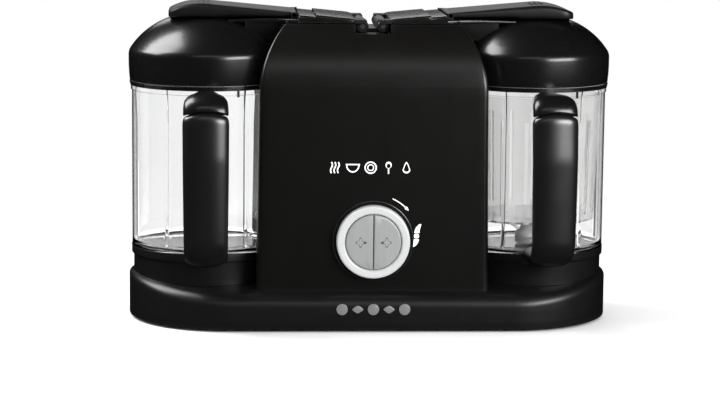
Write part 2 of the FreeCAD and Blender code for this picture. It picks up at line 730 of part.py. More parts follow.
def make_tower_inside():
    """Boilers, heaters, motor bracket, control board, lamp and mains inlet."""
    radius, wall = size.boiler_radius, size.boiler_wall
    low, top = size.boiler_bottom_z, size.tower_top_z
    boiler = turned("boiler_turned", [
        (0, low), (radius, low), (radius, top), (radius - wall, top),
        (radius - wall, low + wall), (0, low + wall)])
    wells, plates, stators = [], [], []
    for side, sign in SIDES.items():
        centre = (size.boiler_x * sign, 0)
        wells.append(move(linked(f"{side}_boiler_copy", boiler), size.boiler_x * sign))
        plates.append(rod(f"{side}_heater_disc", radius, centre, (low - size.heater_height, low)))
    node("boilers", fuse("boilers_fuse", *wells))
    node("heaters", fuse("heaters_fuse", *plates))

    reach = size.boiler_x + size.motor_radius
    bracket_low = size.motor_top_z
    bracket_top = size.boiler_bottom_z - size.heater_height
    web = size.bracket_thick
    deep = size.motor_radius
    shelf = [block("bracket_top", (-reach, reach), (-deep, deep), (bracket_top - web, bracket_top)),
             block("bracket_low", (-reach, reach), (-deep, deep), (bracket_low, bracket_low + web)),
             block("bracket_web", (-web, web), (-deep, deep), (bracket_low, bracket_top)),
             block("bracket_leg", (-web, web), (-deep, deep), (size.base_ceiling_z, bracket_low))]
    holes = [rod(f"{side}_bracket_hole", size.rotor_shaft_radius + size.running_gap,
                 (size.boiler_x * sign, 0), (bracket_low - OVERSHOOT, bracket_low + web + 1))
             for side, sign in SIDES.items()]
    node("motor_bracket", cut("motor_bracket_cut", fuse("motor_bracket_fuse", *shelf), *holes))

    board_y = -size.board_y
    board = block("board_sheet", (-size.board_half, size.board_half), (board_y, board_y + size.board_thick),
                  (size.board_low_z, size.board_high_z))
    relay = block("board_relay", (size.knob_inner_radius, size.board_half - OVERSHOOT),
                  (board_y + size.board_thick, board_y + size.board_thick * 6),
                  (size.board_low_z + OVERSHOOT, size.board_low_z + OVERSHOOT * 4))
    store = rod("board_capacitor", OVERSHOOT, (-size.knob_radius, size.board_high_z - OVERSHOOT * 3),
                (board_y + size.board_thick, board_y + size.board_thick * 9), "y")
    opening = rod("board_opening", size.knob_shaft_radius + size.bush_wall + 1, (0, size.knob_z),
                  (board_y - OVERSHOOT, board_y + OVERSHOOT), "y")
    node("control_board", cut("control_board_cut", fuse("control_board_fuse", board, relay, store), opening))

    node("steam_lamp", fuse("steam_lamp_fuse", *lamp_shapes("lamp_lens")))
    inlet = size.inlet_half
    body = block("inlet_body", (-inlet, inlet), (size.tower_shoulder_y - OVERSHOOT, size.tower_rear_y),
                 (size.inlet_z - inlet, size.inlet_z + inlet))
    mouth = rod("inlet_mouth", inlet * HALF, (0, size.inlet_z),
                (size.tower_shoulder_y, size.tower_rear_y + OVERSHOOT), "y")
    node("mains_inlet", cut("mains_inlet_cut", body, mouth))


# ---------------------------------------------------------------- motors, belts and drives

def belt_outline(small, large):
    """Closed loop round two pulleys: small about the origin, large one span along X."""
    span = size.bowl_axis_x - size.boiler_x
    lean = (large - small) / span
    rise = (as_size(1) - lean * lean).root()
    near, far = -(small * lean), span - large * lean
    return [(near, -(small * rise), small, 1), (far, -(large * rise)),
            (far, large * rise, large, 2), (near, small * rise)]


def make_drives():
    """Motors, belts, bearings, pulleys and shafts, one set for each bowl."""
    gap, thick = size.belt_gap, size.belt_thick
    low = size.belt_low_z
    high = low + size.belt_width
    small, large = size.rotor_pulley_radius + gap, size.drive_pulley_radius + gap
    loop = cut("belt_loop", slab("belt_outer", "XY", belt_outline(small + thick, large + thick), (low, high)),
               slab("belt_inner", "XY", belt_outline(small, large), (low - 1, high + 1)))
    node_pair("drive_belt", move(linked("belt_place", loop), size.boiler_x))

    bearings = []
    for side, sign in SIDES.items():
        motor, bowl = size.boiler_x * sign, size.bowl_axis_x * sign
        shaft, rotor = size.rotor_shaft_radius, size.rotor_radius
        base, top = size.motor_bottom_z, size.motor_top_z
        inner = rotor + 1
        stator = turned(f"{side}_stator_turned", [
            (shaft + size.running_gap, base), (size.motor_radius, base), (size.motor_radius, top),
            (inner, top), (inner, base + OVERSHOOT), (shaft + size.running_gap, base + OVERSHOOT)], motor)
        node(f"{side}_motor_stator", stator)
        bottom = low - 1
        node(f"{side}_motor_rotor", turned(f"{side}_rotor_turned", [
            (0, bottom), (size.rotor_pulley_radius, bottom), (size.rotor_pulley_radius, high + 1),
            (shaft, high + 1), (shaft, base + OVERSHOOT + 1), (rotor, base + OVERSHOOT + 1),
            (rotor, top - 2), (shaft, top - 2), (shaft, top + OVERSHOOT), (0, top + OVERSHOOT)], motor))

        drive = size.drive_shaft_radius
        node(f"{side}_drive_pulley", turned(f"{side}_pulley_turned", [
            (drive, bottom), (size.drive_pulley_radius, bottom), (size.drive_pulley_radius, high + 1),
            (drive, high + 1)], bowl))
        node(f"{side}_drive_shaft", rod(f"{side}_shaft_bar", drive, (bowl, 0),
                                        (bottom, size.blade_hub_top_z - 2)))
        bearings.append(ring(f"{side}_bearing_ring", size.drive_bearing_radius, drive + size.running_gap,
                             (high + 1 + SMALL_GAP, size.well_floor_z), bowl))
    node("drive_bearings", fuse("drive_bearings_fuse", *bearings))


def make_blades():
    """Blade hub and four blades on each drive shaft."""
    for side, sign in SIDES.items():
        bowl = size.bowl_axis_x * sign
        low, high = size.blade_hub_z, size.blade_hub_top_z
        shaft, hub = size.drive_shaft_radius, size.blade_hub_radius
        node(f"{side}_blade_hub", turned(f"{side}_hub_turned", [
            (shaft, low), (hub, low), (hub, high - hub * HALF), (shaft, high, hub, 1),
            (0, high), (0, high - 2), (shaft, high - 2)], bowl))
        blades = []
        for count in range(BLADE_COUNT):
            blade = document.addObject("Part::Box", f"{side}_blade_bar_{count}")
            bind(blade, "Length", size.blade_reach - hub * HALF)
            bind(blade, "Width", size.blade_width)
            bind(blade, "Height", size.blade_thick)
            level = low + size.blade_thick * (2 + count % 2 * 3)
            turn = FreeCAD.Rotation(Vector(0, 0, 1), 360 / BLADE_COUNT * count)
            lift = FreeCAD.Rotation(Vector(0, 1, 0), -size.blade_tilt.number * (count % 2))
            blade.Placement.Rotation = turn * lift
            offset = turn.multVec(Vector(hub.number * HALF, -size.blade_width.number * HALF, 0))
            blades.append(move(blade, bowl + offset.x, offset.y, level))
        core = rod(f"{side}_blade_core", hub, (bowl, 0), (low - 1, high + 1))
        node(f"{side}_blades", cut(f"{side}_blades_cut", fuse(f"{side}_blades_fuse", *blades), core))


# ---------------------------------------------------------------- bowls

def make_bowl(side, sign):
    """Glass bowl, plastic foot and two-part handle, turned together about the bowl's axis."""
    axis = size.bowl_axis_x * sign
    turn = getattr(size, f"{side}_handle_turn") * sign
    radius, wall = size.bowl_radius, size.bowl_wall
    floor, collar, rim = size.bowl_floor_z, size.bowl_collar_z, size.bowl_rim_z
    boss = size.drive_bearing_radius
    glass = turned(f"{side}_glass_turned", [
        (boss + size.running_gap, floor), (radius, floor), (radius, collar),
        (radius + size.bowl_collar_step, collar), (radius + size.bowl_collar_step, rim),
        (radius - wall, rim), (radius - wall, floor + wall), (boss + size.running_gap, floor + wall)])
    shaft = size.drive_shaft_radius + size.running_gap
    low, skirt = size.foot_bottom_z, size.foot_radius
    hub, under = boss + wall, floor - wall
    foot = turned(f"{side}_foot_turned", [
        (shaft, low), (hub, low), (hub, under), (skirt - wall, under), (skirt - wall, low),
        (skirt, low), (skirt, floor), (boss, floor), (boss, floor + wall), (shaft, floor + wall)])

    reach, depth, bend = size.handle_reach, size.handle_depth, size.handle_round
    low, top, bridge = size.handle_low_z, size.handle_top_z, size.handle_bridge
    inside = reach - depth
    bend_in = bend * HALF
    profile = slab(f"{side}_handle_profile", "YZ", [
        (-(reach - bend), low, bend, 1), (0, low), (0, low + bridge), (-(inside - bend_in), low + bridge),
        (-inside, low + bridge + bend_in, bend_in, -1), (-inside, top - bridge - bend_in),
        (-(inside - bend_in), top - bridge, bend_in, -1), (0, top - bridge), (0, top),
        (-(reach - bend), top), (-reach, top - bend, bend, 1),
        (-reach, low + bend)], (-size.handle_width * HALF, size.handle_width * HALF))
    bowl_room = rod(f"{side}_handle_room", radius, (0, 0), (0, size.tower_top_z))
    collar_room = rod(f"{side}_collar_room", radius + size.bowl_collar_step, (0, 0), (collar, rim))
    grip_all = cut(f"{side}_handle_all", profile, bowl_room, collar_room)
    half = size.handle_width
    upper = block(f"{side}_cap_room", (-half, half), (-reach - 1, 0), (size.handle_cap_z, rim))
    pieces = {
        "bowl": glass, "bowl_foot": foot,
        "handle": cut(f"{side}_grip_cut", grip_all, upper),
        "handle_cap": overlap(f"{side}_cap_half", grip_all, upper),
    }
    for label, item in pieces.items():
        placed = linked(f"{side}_{label}_placed", item)
        bind(placed, "Placement.Rotation.Angle", turn)
        node(f"{side}_{label}", move(placed, axis))


def make_basket():
    """Slotted steam basket that hangs in the right-hand bowl."""
    radius, wall = size.basket_radius, size.basket_wall
    low, top = size.basket_low_z, size.basket_top_z
    axis = size.bowl_axis_x
    cup = turned("basket_cup", [
        (0, low), (radius - wall * 2, low), (radius, top), (radius - wall, top),
        (radius - wall * 3, low + wall), (0, low + wall)], axis)
    slots = []
    for count in range(SLOT_COUNT // 2):
        slot = document.addObject("Part::Box", f"basket_slot_{count}")
        bind(slot, "Length", radius * 3)
        bind(slot, "Width", size.basket_slot)
        bind(slot, "Height", (top - low) * HALF * 1.5)
        slot.Placement.Rotation = FreeCAD.Rotation(Vector(0, 0, 1), 360 / SLOT_COUNT * count)
        offset = slot.Placement.Rotation.multVec(
            Vector(-radius.number * 1.5, -size.basket_slot.number * HALF, 0))
        slots.append(move(slot, axis + offset.x, offset.y, low + wall * 4))
    holes = [rod(f"basket_hole_{count}", size.basket_slot,
                 (axis + radius * HALF * math.cos(math.tau * count / SLOT_COUNT),
                  radius * HALF * math.sin(math.tau * count / SLOT_COUNT)), (low - 1, low + wall * 2))
             for count in range(SLOT_COUNT)]
    node("steam_basket", cut("basket_cut", cup, *slots, *holes))


# ---------------------------------------------------------------- lids, levers and plungers

def wing_top(x):
    """Height of the sloping top of lid and lever at a distance from the middle."""
    return size.wing_peak_z + size.wing_slope * x


def make_lid():
    """Domed lid with its wing over the tower, hinge knuckles, liner and seals, right-hand side."""
    axis = size.bowl_axis_x
    skirt, crease, top = size.lid_skirt_z, size.lid_crease_z, size.lid_top_z
    outer, wall, flat = size.lid_radius, size.lid_wall, size.lid_flat_radius
    dome_radius = size.lid_dome_radius
    dome = turned("lid_dome", [
        (outer, skirt), (outer, crease), (flat, top, dome_radius, 1), (0, top), (0, skirt)], axis)
    hollow = turned("lid_hollow", [
        (outer - wall, skirt - 1), (outer - wall, crease), (flat, top - wall, dome_radius, 1),
        (0, top - wall), (0, skirt - 1)], axis)

    deep = (-size.wing_half_depth, size.wing_half_depth)
    low, plate, inner_x = size.wing_bottom_z, size.wing_plate_z, size.wing_inner_x
    outer_x, ledge = size.wing_outer_x, size.wing_ledge_x
    wing = slab("lid_wing", "XZ", [
        (inner_x, low), (ledge, low), (ledge, plate), (outer_x, plate),
        (outer_x, wing_top(outer_x)), (inner_x, wing_top(inner_x))], deep)
    tongue_half = size.lever_half_width + size.ear_thick
    tongue = block("lid_tongue", (ledge, size.tongue_end_x), (-tongue_half, tongue_half), (low, plate))
    pivot = (size.lever_pivot_x, size.lever_pivot_z)
    lugs = []
    for name, row in (("front", -1.0), ("rear", 1.0)):
        near = (size.lug_half_length + SMALL_GAP) * row
        far = size.knuckle_end_y * row
        edge = size.wing_half_depth * row
        ends = sorted([near, far], key=lambda end: end.number)
        reach = sorted([near, edge], key=lambda end: end.number)
        lugs.append(rod(f"lid_knuckle_{name}", size.hinge_radius, (size.hinge_x, size.hinge_z), ends, "y"))
        lugs.append(block(f"lid_nose_{name}", (size.wing_nose_x, inner_x), reach,
                          (low, wing_top(size.wing_nose_x))))
        ear = sorted([(size.lever_half_width + SMALL_GAP) * row,
                      (size.lever_half_width + size.ear_thick) * row], key=lambda end: end.number)
        lugs.append(rod(f"lever_ear_{name}", size.lever_barrel_radius, pivot, ear, "y"))
        rise = size.lever_barrel_radius
        lugs.append(block(f"lever_ear_foot_{name}", (size.wing_outer_x - 1, size.lever_pivot_x + rise), ear,
                          (low, size.lever_pivot_z)))
    half = size.duct_half_width
    duct_deep = (-half, half)
    plunger = (size.plunger_x, -size.plunger_y)
    chamber_top = plate + size.plunger_head_height + size.plunger_travel + SMALL_GAP
    roof = size.duct_roof_z
    bores = [
        rod("lid_hinge_bore", size.hinge_pin_radius + size.running_gap,
            (size.hinge_x, size.hinge_z), deep, "y"),
        rod("lever_pin_bore", size.lever_pin_radius, pivot, deep, "y"),
        block("steam_way", (size.boiler_x, size.steam_pipe_x - size.steam_pipe_radius), duct_deep,
              (low - 1, roof)),
        rod("steam_dish", size.boiler_seal_inner, (size.boiler_x, 0), (low - 1, roof)),
        ring("seal_groove", size.boiler_seal_outer, size.boiler_seal_inner, (low - 1, roof),
             size.boiler_x),
        rod("plunger_bore", size.plunger_radius + size.running_gap, plunger, (low - 1, plate)),
        rod("plunger_chamber", size.plunger_head_radius + size.running_gap, plunger,
            (plate, chamber_top)),
        rod("spout_room", size.steam_pipe_radius, (size.steam_pipe_x, 0),
            (size.liner_z, size.duct_bottom_z + size.duct_wall)),
    ]
    duct = (size.lever_pivot_x, size.duct_outer_x)
    trough = block("duct_outer", duct, duct_deep, (size.duct_bottom_z, low))
    solid = fuse("lid_solid", dome, wing, tongue, *lugs)
    node_pair("lid_shell", cut("lid_shell_cut", solid, hollow, trough, *bores))

    duct_wall = size.duct_wall
    gutter = block("duct_inner", (size.lever_pivot_x - 1, size.duct_outer_x - duct_wall),
                   (duct_wall - half, half - duct_wall), (size.duct_bottom_z + duct_wall, low + 1))
    pipe_x, pipe = size.steam_pipe_x, size.steam_pipe_radius
    liner_z, thick = size.liner_z, size.liner_thick
    disc = ring("liner_disc", outer - wall - size.running_gap, pipe - size.duct_wall,
                (liner_z, liner_z + thick), axis)
    spout = rod("liner_spout", pipe, (pipe_x, 0), (liner_z, size.duct_bottom_z + size.duct_wall))
    liner = cut("liner_cut", fuse("liner_fuse", disc, spout, trough), gutter,
                rod("spout_bore", pipe - size.duct_wall, (pipe_x, 0), (liner_z - 1, low - size.duct_wall)))
    node_pair("lid_liner", liner)
    node_pair("bowl_seal", ring("bowl_seal_ring", outer - wall - size.running_gap,
                                size.bowl_radius - OVERSHOOT, (size.bowl_seal_z, liner_z), axis))
    node_pair("boiler_seal", ring("boiler_seal_ring", size.boiler_seal_outer, size.boiler_seal_inner,
                                  (size.tower_top_z + SMALL_GAP * HALF, size.duct_roof_z), size.boiler_x))


def make_lever():
    """Long lock lever on its pin, and the interlock plunger it works, right-hand side."""
    under, pivot_x, pivot_z = size.lever_under_z, size.lever_pivot_x, size.lever_pivot_z
    rib_x, tip_x, tip_z = size.lever_rib_x, size.lever_tip_x, size.lever_tip_z
    deep = (-size.lever_half_width, size.lever_half_width)
    barrel = size.lever_barrel_radius
    paddle = slab("lever_paddle", "XZ", [
        (pivot_x, under), (tip_x, under), (tip_x, tip_z),
        (rib_x, wing_top(rib_x), size.lever_tip_radius, 1), (pivot_x, pivot_z + barrel)], deep)
    ribs = [rod(f"lever_rib_{count}", size.lever_rib_rise * 2,
                (rib_x + (count - 1) * RIB_PITCH, wing_top(rib_x) - size.lever_rib_rise * 1.5),
                (-size.lever_half_width * HALF, size.lever_half_width * HALF), "y")
            for count in range(RIB_COUNT)]
    lever = fuse("lever_fuse", paddle, rod("lever_barrel", barrel, (pivot_x, pivot_z), deep, "y"), *ribs)
    bore = rod("lever_bore", size.lever_pin_radius + size.running_gap, (pivot_x, pivot_z),
               (deep[0] - 1, deep[1] + 1), "y")
    node_pair("lock_lever", cut("lever_cut", lever, bore))
    reach = size.lever_half_width + size.ear_thick
    node_pair("lever_pin", rod("lever_pin_bar", size.lever_pin_radius, (pivot_x, pivot_z),
                               (-reach, reach), "y"))

    centre = (size.plunger_x, -size.plunger_y)
    head_z = size.wing_plate_z
    plunger = fuse("plunger_fuse",
                   rod("plunger_stem", size.plunger_radius, centre, (size.tower_top_z - 1.5, head_z)),
                   rod("plunger_head", size.plunger_head_radius, centre,
                       (head_z, head_z + size.plunger_head_height)))
    node_pair("interlock_plunger", plunger)


# ---------------------------------------------------------------- knob

def make_knob():
    """Turning ring with two half-round pulse buttons, in a bush through the front cover."""
    back, front = -size.knob_back_y, -size.knob_front_y
    centre = (0, size.knob_z)
    seat = back - size.knob_seat
    rim = cut("knob_rim", rod("knob_disc", size.knob_radius, centre, (front, back), "y"),
              rod("knob_well", size.knob_inner_radius, centre, (front - 1, seat), "y"))
    shaft = rod("knob_shaft", size.knob_shaft_radius, centre, (back, -size.board_y + OVERSHOOT), "y")
    node("knob_ring", fuse("knob_ring_fuse", rim, shaft))
    bush_outer = size.knob_shaft_radius + size.bush_wall
    bush = cut("bush_cut", rod("bush_bar", bush_outer, centre, (back + SMALL_GAP, -size.board_y), "y"),
               rod("bush_bore", size.knob_shaft_radius + size.running_gap, centre,
                   (back - 1, -size.board_y + 1), "y"))
    node("knob_bush", bush)
    button_front, travel = -size.button_front_y, size.button_travel
    back_face = seat - travel - SMALL_GAP
    for side, sign in SIDES.items():
        room = sorted([size.button_split * HALF * sign, size.button_radius * sign],
                      key=lambda end: end.number)
        disc = rod(f"{side}_button_disc", size.button_radius, centre, (button_front, back_face), "y")
        reach = size.button_radius
        keep = block(f"{side}_button_room", room, (button_front - 1, back),
                     (size.knob_z - reach, size.knob_z + reach))
        node(f"{side}_pulse_button", overlap(f"{side}_button_half", disc, keep))


# ---------------------------------------------------------------- build and write

def check_document():
    """Stop if any object failed or any sub-part has no valid solid."""
    faults = [item.Name for item in document.Objects
              if "Invalid" in item.State or "Error" in item.State]
    for label, item in nodes.items():
        if item.Shape.isNull() or not item.Shape.isValid() or not item.Shape.Solids:
            faults.append(label)
    if faults:
        raise RuntimeError(f"not built: {faults}")


def main():
    """Build every sub-part and write one file for each."""
    make_base_housing()
    make_base_underside()
    make_badge()
    make_tower()
    make_tower_inside()
    make_drives()
    make_blades()
    for side, sign in SIDES.items():
        make_bowl(side, sign)
    make_basket()
    make_lid()
    make_lever()
    make_knob()
    document.recompute()
    check_document()
    os.makedirs("parts", exist_ok=True)
    for label, item in nodes.items():
        item.Shape.exportStep(f"parts/{label}.step")
        print(f"{label}: {len(item.Shape.Solids)} solid(s), {item.Shape.Volume / 1000:.1f} cm3")


main()
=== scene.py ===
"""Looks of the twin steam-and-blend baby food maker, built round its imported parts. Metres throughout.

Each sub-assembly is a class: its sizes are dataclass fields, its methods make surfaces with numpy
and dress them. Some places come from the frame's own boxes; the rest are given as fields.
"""

import json
import logging
import math
from dataclasses import dataclass
from enum import Enum
from typing import Callable, Sequence

import bmesh
import bpy
import numpy as np
from mathutils import Matrix, Vector


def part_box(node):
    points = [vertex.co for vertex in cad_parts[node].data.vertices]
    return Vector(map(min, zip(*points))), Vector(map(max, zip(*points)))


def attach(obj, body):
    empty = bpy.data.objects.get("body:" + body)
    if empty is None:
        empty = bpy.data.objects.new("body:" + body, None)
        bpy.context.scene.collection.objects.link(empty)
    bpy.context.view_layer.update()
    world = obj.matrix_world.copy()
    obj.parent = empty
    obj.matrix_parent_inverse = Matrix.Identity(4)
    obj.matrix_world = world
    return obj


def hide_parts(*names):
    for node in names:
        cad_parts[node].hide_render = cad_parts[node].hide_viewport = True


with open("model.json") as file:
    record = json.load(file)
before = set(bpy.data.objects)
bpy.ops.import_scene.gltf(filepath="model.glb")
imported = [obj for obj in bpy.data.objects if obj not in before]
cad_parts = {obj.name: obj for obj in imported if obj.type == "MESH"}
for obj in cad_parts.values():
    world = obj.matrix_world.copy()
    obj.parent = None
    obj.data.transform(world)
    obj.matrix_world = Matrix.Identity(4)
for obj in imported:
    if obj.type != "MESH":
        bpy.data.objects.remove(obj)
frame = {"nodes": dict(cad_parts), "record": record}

Array = np.ndarray
MM = 0.001
CREASE_ANGLE = 34.0
WORN_EDGE = (0.52, 0.62)
# Facing range over which clear walls seen edge-on take painted shade.
EDGE_ON_SHADE_RANGE = (0.66, 0.82)
RUBBED_LIGHTER = 0.06
# Near-black colour of that painted shade.
RIM_SHADE_COLOUR = (0.02, 0.02, 0.02)
LEVER_PIVOT = (64 * MM, 253.6 * MM)
WING_SLOPE = 0.093
PRINT_ROOT = 0.5 * MM
LOG = logging.getLogger("food_maker")
logging.basicConfig(level=logging.INFO, format="%(message)s")


class Side(Enum):
    """Which of the two bowls a piece belongs to; the value is the sign of its place along X."""

    LEFT = -1
    RIGHT = 1

    @property
    def word(self) -> str:
        """Name used at the start of the side's nodes and bodies."""
        return self.name.lower()


class Grain(Enum):
    """Which way a finish's fine pattern runs; the value is the pattern's stretch along X, Y and Z."""

    EVEN = (1.0, 1.0, 1.0)
    ALONG_X = (0.03, 1.0, 1.0)
    UPRIGHT = (1.0, 1.0, 0.03)


# ---------------------------------------------------------------- finishes

@dataclass(frozen=True)
class Finish:
    """A procedural surface: base shader values plus grain, roughness drift, edge wear and, for clear walls,
    painted shade where they are seen edge-on.

    Sizes of patterns are in repeats per metre and bump heights in metres.
    """

    name: str
    colour: tuple[float, float, float]
    roughness: float
    metallic: float = 0.0
    drift: float = 0.05
    drift_scale: float = 60.0
    grain_scale: float = 1400.0
    grain_height: float = 0.00002
    grain: Grain = Grain.EVEN
    tint: float = 0.12
    wear: float = 0.0
    coat: float = 0.0
    coat_roughness: float = 0.06
    transmission: float = 0.0
    ior: float = 1.5
    specular: float = 0.5
    emission: float = 0.0
    # Share of painted shade on walls seen edge-on.
    painted_rim_shade: float = 0.0

    def material(self) -> bpy.types.Material:
        """Return this finish's material, made once.

        Returns:
            The node material, with grain in the bump, drift in the roughness and tint in the colour.
        """
        label = f"{self.name}_finish"
        found = bpy.data.materials.get(label)
        if found:
            return found
        made = bpy.data.materials.new(label)
        made.use_nodes = True
        tree = made.node_tree
        shader = tree.nodes["Principled BSDF"]
        sockets = {
            "Base Color": (*self.colour, 1.0), "Metallic": self.metallic, "Roughness": self.roughness,
            "Coat Weight": self.coat, "Coat Roughness": self.coat_roughness, "IOR": self.ior,
            "Transmission Weight": self.transmission, "Specular IOR Level": self.specular,
            "Emission Color": (*self.colour, 1.0), "Emission Strength": self.emission,
        }
        for socket, value in sockets.items():
            shader.inputs[socket].default_value = value
        place = tree.nodes.new("ShaderNodeTexCoord")
        stretch = tree.nodes.new("ShaderNodeMapping")
        stretch.inputs["Scale"].default_value = self.grain.value
        tree.links.new(place.outputs["Object"], stretch.inputs["Vector"])
        self._drive_roughness(tree, shader, place)
        self._drive_bump(tree, shader, stretch)
        self._drive_colour(tree, shader, stretch)
        return made

    def _noise(self, tree: bpy.types.NodeTree, vector: bpy.types.NodeSocket, scale: float,
               detail: float) -> bpy.types.NodeSocket:
        """Add a noise pattern and return its value socket."""
        noise = tree.nodes.new("ShaderNodeTexNoise")
        noise.inputs["Scale"].default_value = scale
        noise.inputs["Detail"].default_value = detail
        tree.links.new(vector, noise.inputs["Vector"])
        return noise.outputs["Fac"]

    def _spread(self, tree: bpy.types.NodeTree, value: bpy.types.NodeSocket,
                source: tuple[float, float], result: tuple[float, float]) -> bpy.types.NodeSocket:
        """Carry a value from one range to another and return the result's socket."""
        spread = tree.nodes.new("ShaderNodeMapRange")
        for prefix, (low, high) in (("From", source), ("To", result)):
            spread.inputs[f"{prefix} Min"].default_value = low
            spread.inputs[f"{prefix} Max"].default_value = high
        tree.links.new(value, spread.inputs["Value"])
        return spread.outputs["Result"]

    def _blend(self, tree: bpy.types.NodeTree, share: bpy.types.NodeSocket,
               colour: tuple[float, ...]) -> bpy.types.Node:
        """Add a colour mix whose second colour is given, by a share, and return the node."""
        mix = tree.nodes.new("ShaderNodeMix")
        mix.data_type = "RGBA"
        mix.inputs["B"].default_value = (*colour, 1.0)
        tree.links.new(share, mix.inputs["Factor"])
        return mix

    def _drive_roughness(self, tree: bpy.types.NodeTree, shader: bpy.types.Node,
                         place: bpy.types.Node) -> None:
        """Let the roughness drift slowly across the surface, as handled plastic and metal do."""
        value = self._noise(tree, place.outputs["Object"], self.drift_scale, 3.0)
        limits = (max(self.roughness - self.drift, 0.01), min(self.roughness + self.drift, 1.0))
        tree.links.new(self._spread(tree, value, (0.0, 1.0), limits), shader.inputs["Roughness"])

    def _drive_bump(self, tree: bpy.types.NodeTree, shader: bpy.types.Node,
                    stretch: bpy.types.Node) -> None:
        """Raise the fine moulded or brushed grain."""
        bump = tree.nodes.new("ShaderNodeBump")
        bump.inputs["Distance"].default_value = self.grain_height
        bump.inputs["Strength"].default_value = 1.0
        value = self._noise(tree, stretch.outputs["Vector"], self.grain_scale, 2.0)
        tree.links.new(value, bump.inputs["Height"])
        tree.links.new(bump.outputs["Normal"], shader.inputs["Normal"])
        if self.coat:
            tree.links.new(bump.outputs["Normal"], shader.inputs["Coat Normal"])

    def _drive_colour(self, tree: bpy.types.NodeTree, shader: bpy.types.Node,
                      stretch: bpy.types.Node) -> None:
        """Vary the colour with the grain, lighten rubbed edges and paint shade onto clear walls seen
        edge-on.
        """
        dark = tuple(value * (1.0 - self.tint) for value in self.colour)
        light = tuple(min(value * (1.0 + self.tint), 1.0) for value in self.colour)
        value = self._noise(tree, stretch.outputs["Vector"], self.grain_scale * 0.2, 2.0)
        grain = self._blend(tree, value, light)
        grain.inputs["A"].default_value = (*dark, 1.0)
        last = grain.outputs["Result"]
        if self.wear:
            geometry = tree.nodes.new("ShaderNodeNewGeometry")
            edge = self._spread(tree, geometry.outputs["Pointiness"], WORN_EDGE, (0.0, self.wear))
            worn = self._blend(tree, edge, tuple(value + RUBBED_LIGHTER for value in self.colour))
            tree.links.new(last, worn.inputs["A"])
            last = worn.outputs["Result"]
        # Painted shade: where a clear wall is seen edge-on its colour goes to near black, standing in for
        # the dark surroundings that it would bend and mirror.
        if self.painted_rim_shade:
            facing = tree.nodes.new("ShaderNodeLayerWeight")
            facing.inputs["Blend"].default_value = 0.5
            rim = self._spread(tree, facing.outputs["Facing"], EDGE_ON_SHADE_RANGE, (0.0, self.painted_rim_shade))
            painted_edge_shade = self._blend(tree, rim, RIM_SHADE_COLOUR)
            tree.links.new(last, painted_edge_shade.inputs["A"])
            last = painted_edge_shade.outputs["Result"]
        tree.links.new(last, shader.inputs["Base Color"])


SATIN_BLACK = Finish("satin_black_plastic", (0.0045, 0.0044, 0.0042), 0.36, wear=0.3, tint=0.2)
TOWER_BLACK = Finish("tower_black_plastic", (0.0034, 0.0032, 0.0028), 0.3, drift=0.03, wear=0.15, tint=0.2)
GLOSS_BLACK = Finish("gloss_black_plastic", (0.0036, 0.0035, 0.0034), 0.27, drift=0.03, coat=0.25,
                     coat_roughness=0.16, grain_height=0.000006, wear=0.15, tint=0.2)
LEVER_BLACK = Finish("lever_black_plastic", (0.0045, 0.0045, 0.0044), 0.4, drift=0.04, wear=0.4, tint=0.2,
                     specular=0.35)
GRIP_BLACK = Finish("grip_black_plastic", (0.0045, 0.0044, 0.0042), 0.3, drift=0.04, wear=0.2, tint=0.2,
                    specular=1.0)
DARK_PLASTIC = Finish("dark_plastic", (0.03, 0.03, 0.032), 0.5)
# Both clear finishes paint shade onto walls seen edge-on, so the bowl's ribs also show as painted dark
# lines.
CLEAR_BOWL = Finish("clear_bowl", (0.982, 0.985, 0.984), 0.02, drift=0.01, grain_height=0.0000015,
                    grain_scale=300.0, tint=0.01, transmission=1.0, ior=1.47, painted_rim_shade=0.99)
CLEAR_BASKET = Finish("clear_basket", (0.965, 0.965, 0.96), 0.06, drift=0.02, grain_height=0.000003,
                      tint=0.02, transmission=0.9, ior=1.45, painted_rim_shade=0.6)
WHITE_PLASTIC = Finish("white_plastic", (0.78, 0.78, 0.77), 0.42, tint=0.03)
# Painted glow: the printed pictures and arrow shine a little by themselves, though they are only print.
GLOWING_WHITE_PRINT = Finish("white_print_painted_glow", (0.86, 0.86, 0.86), 0.5, tint=0.02, emission=0.25)
LAMP_WHITE = Finish("lamp_white", (0.92, 0.92, 0.92), 0.25, tint=0.01, emission=0.35)
RING_WHITE = Finish("ring_pearl", (0.56, 0.57, 0.573), 0.3, metallic=0.2, tint=0.03, coat=0.3)
DISC_SILVER = Finish("disc_silver", (0.41, 0.413, 0.415), 0.38, metallic=0.45, tint=0.06,
                     grain=Grain.UPRIGHT)
ICON_GREY = Finish("icon_grey", (0.09, 0.095, 0.1), 0.5)
RUBBER = Finish("soft_rubber", (0.02, 0.02, 0.02), 0.75, grain_height=0.00004)
SILICONE = Finish("seal_silicone", (0.55, 0.57, 0.57), 0.5)
STAINLESS = Finish("stainless_steel", (0.62, 0.62, 0.63), 0.24, metallic=1.0, grain=Grain.ALONG_X)
BADGE_METAL = Finish("badge_metal", (0.2, 0.205, 0.21), 0.34, metallic=0.3, grain=Grain.ALONG_X)
CAST_ALLOY = Finish("cast_alloy", (0.55, 0.56, 0.57), 0.5, metallic=1.0, grain_height=0.00006)
MOTOR_STEEL = Finish("motor_steel", (0.22, 0.22, 0.23), 0.45, metallic=0.8, grain=Grain.UPRIGHT)
BRONZE = Finish("sintered_bronze", (0.5, 0.33, 0.14), 0.45, metallic=1.0, grain_height=0.00005)
BOARD_GREEN = Finish("board_green", (0.02, 0.13, 0.05), 0.4)
FLOOR_WHITE = Finish("studio_floor", (0.86, 0.86, 0.86), 0.6, drift=0.02, tint=0.005)

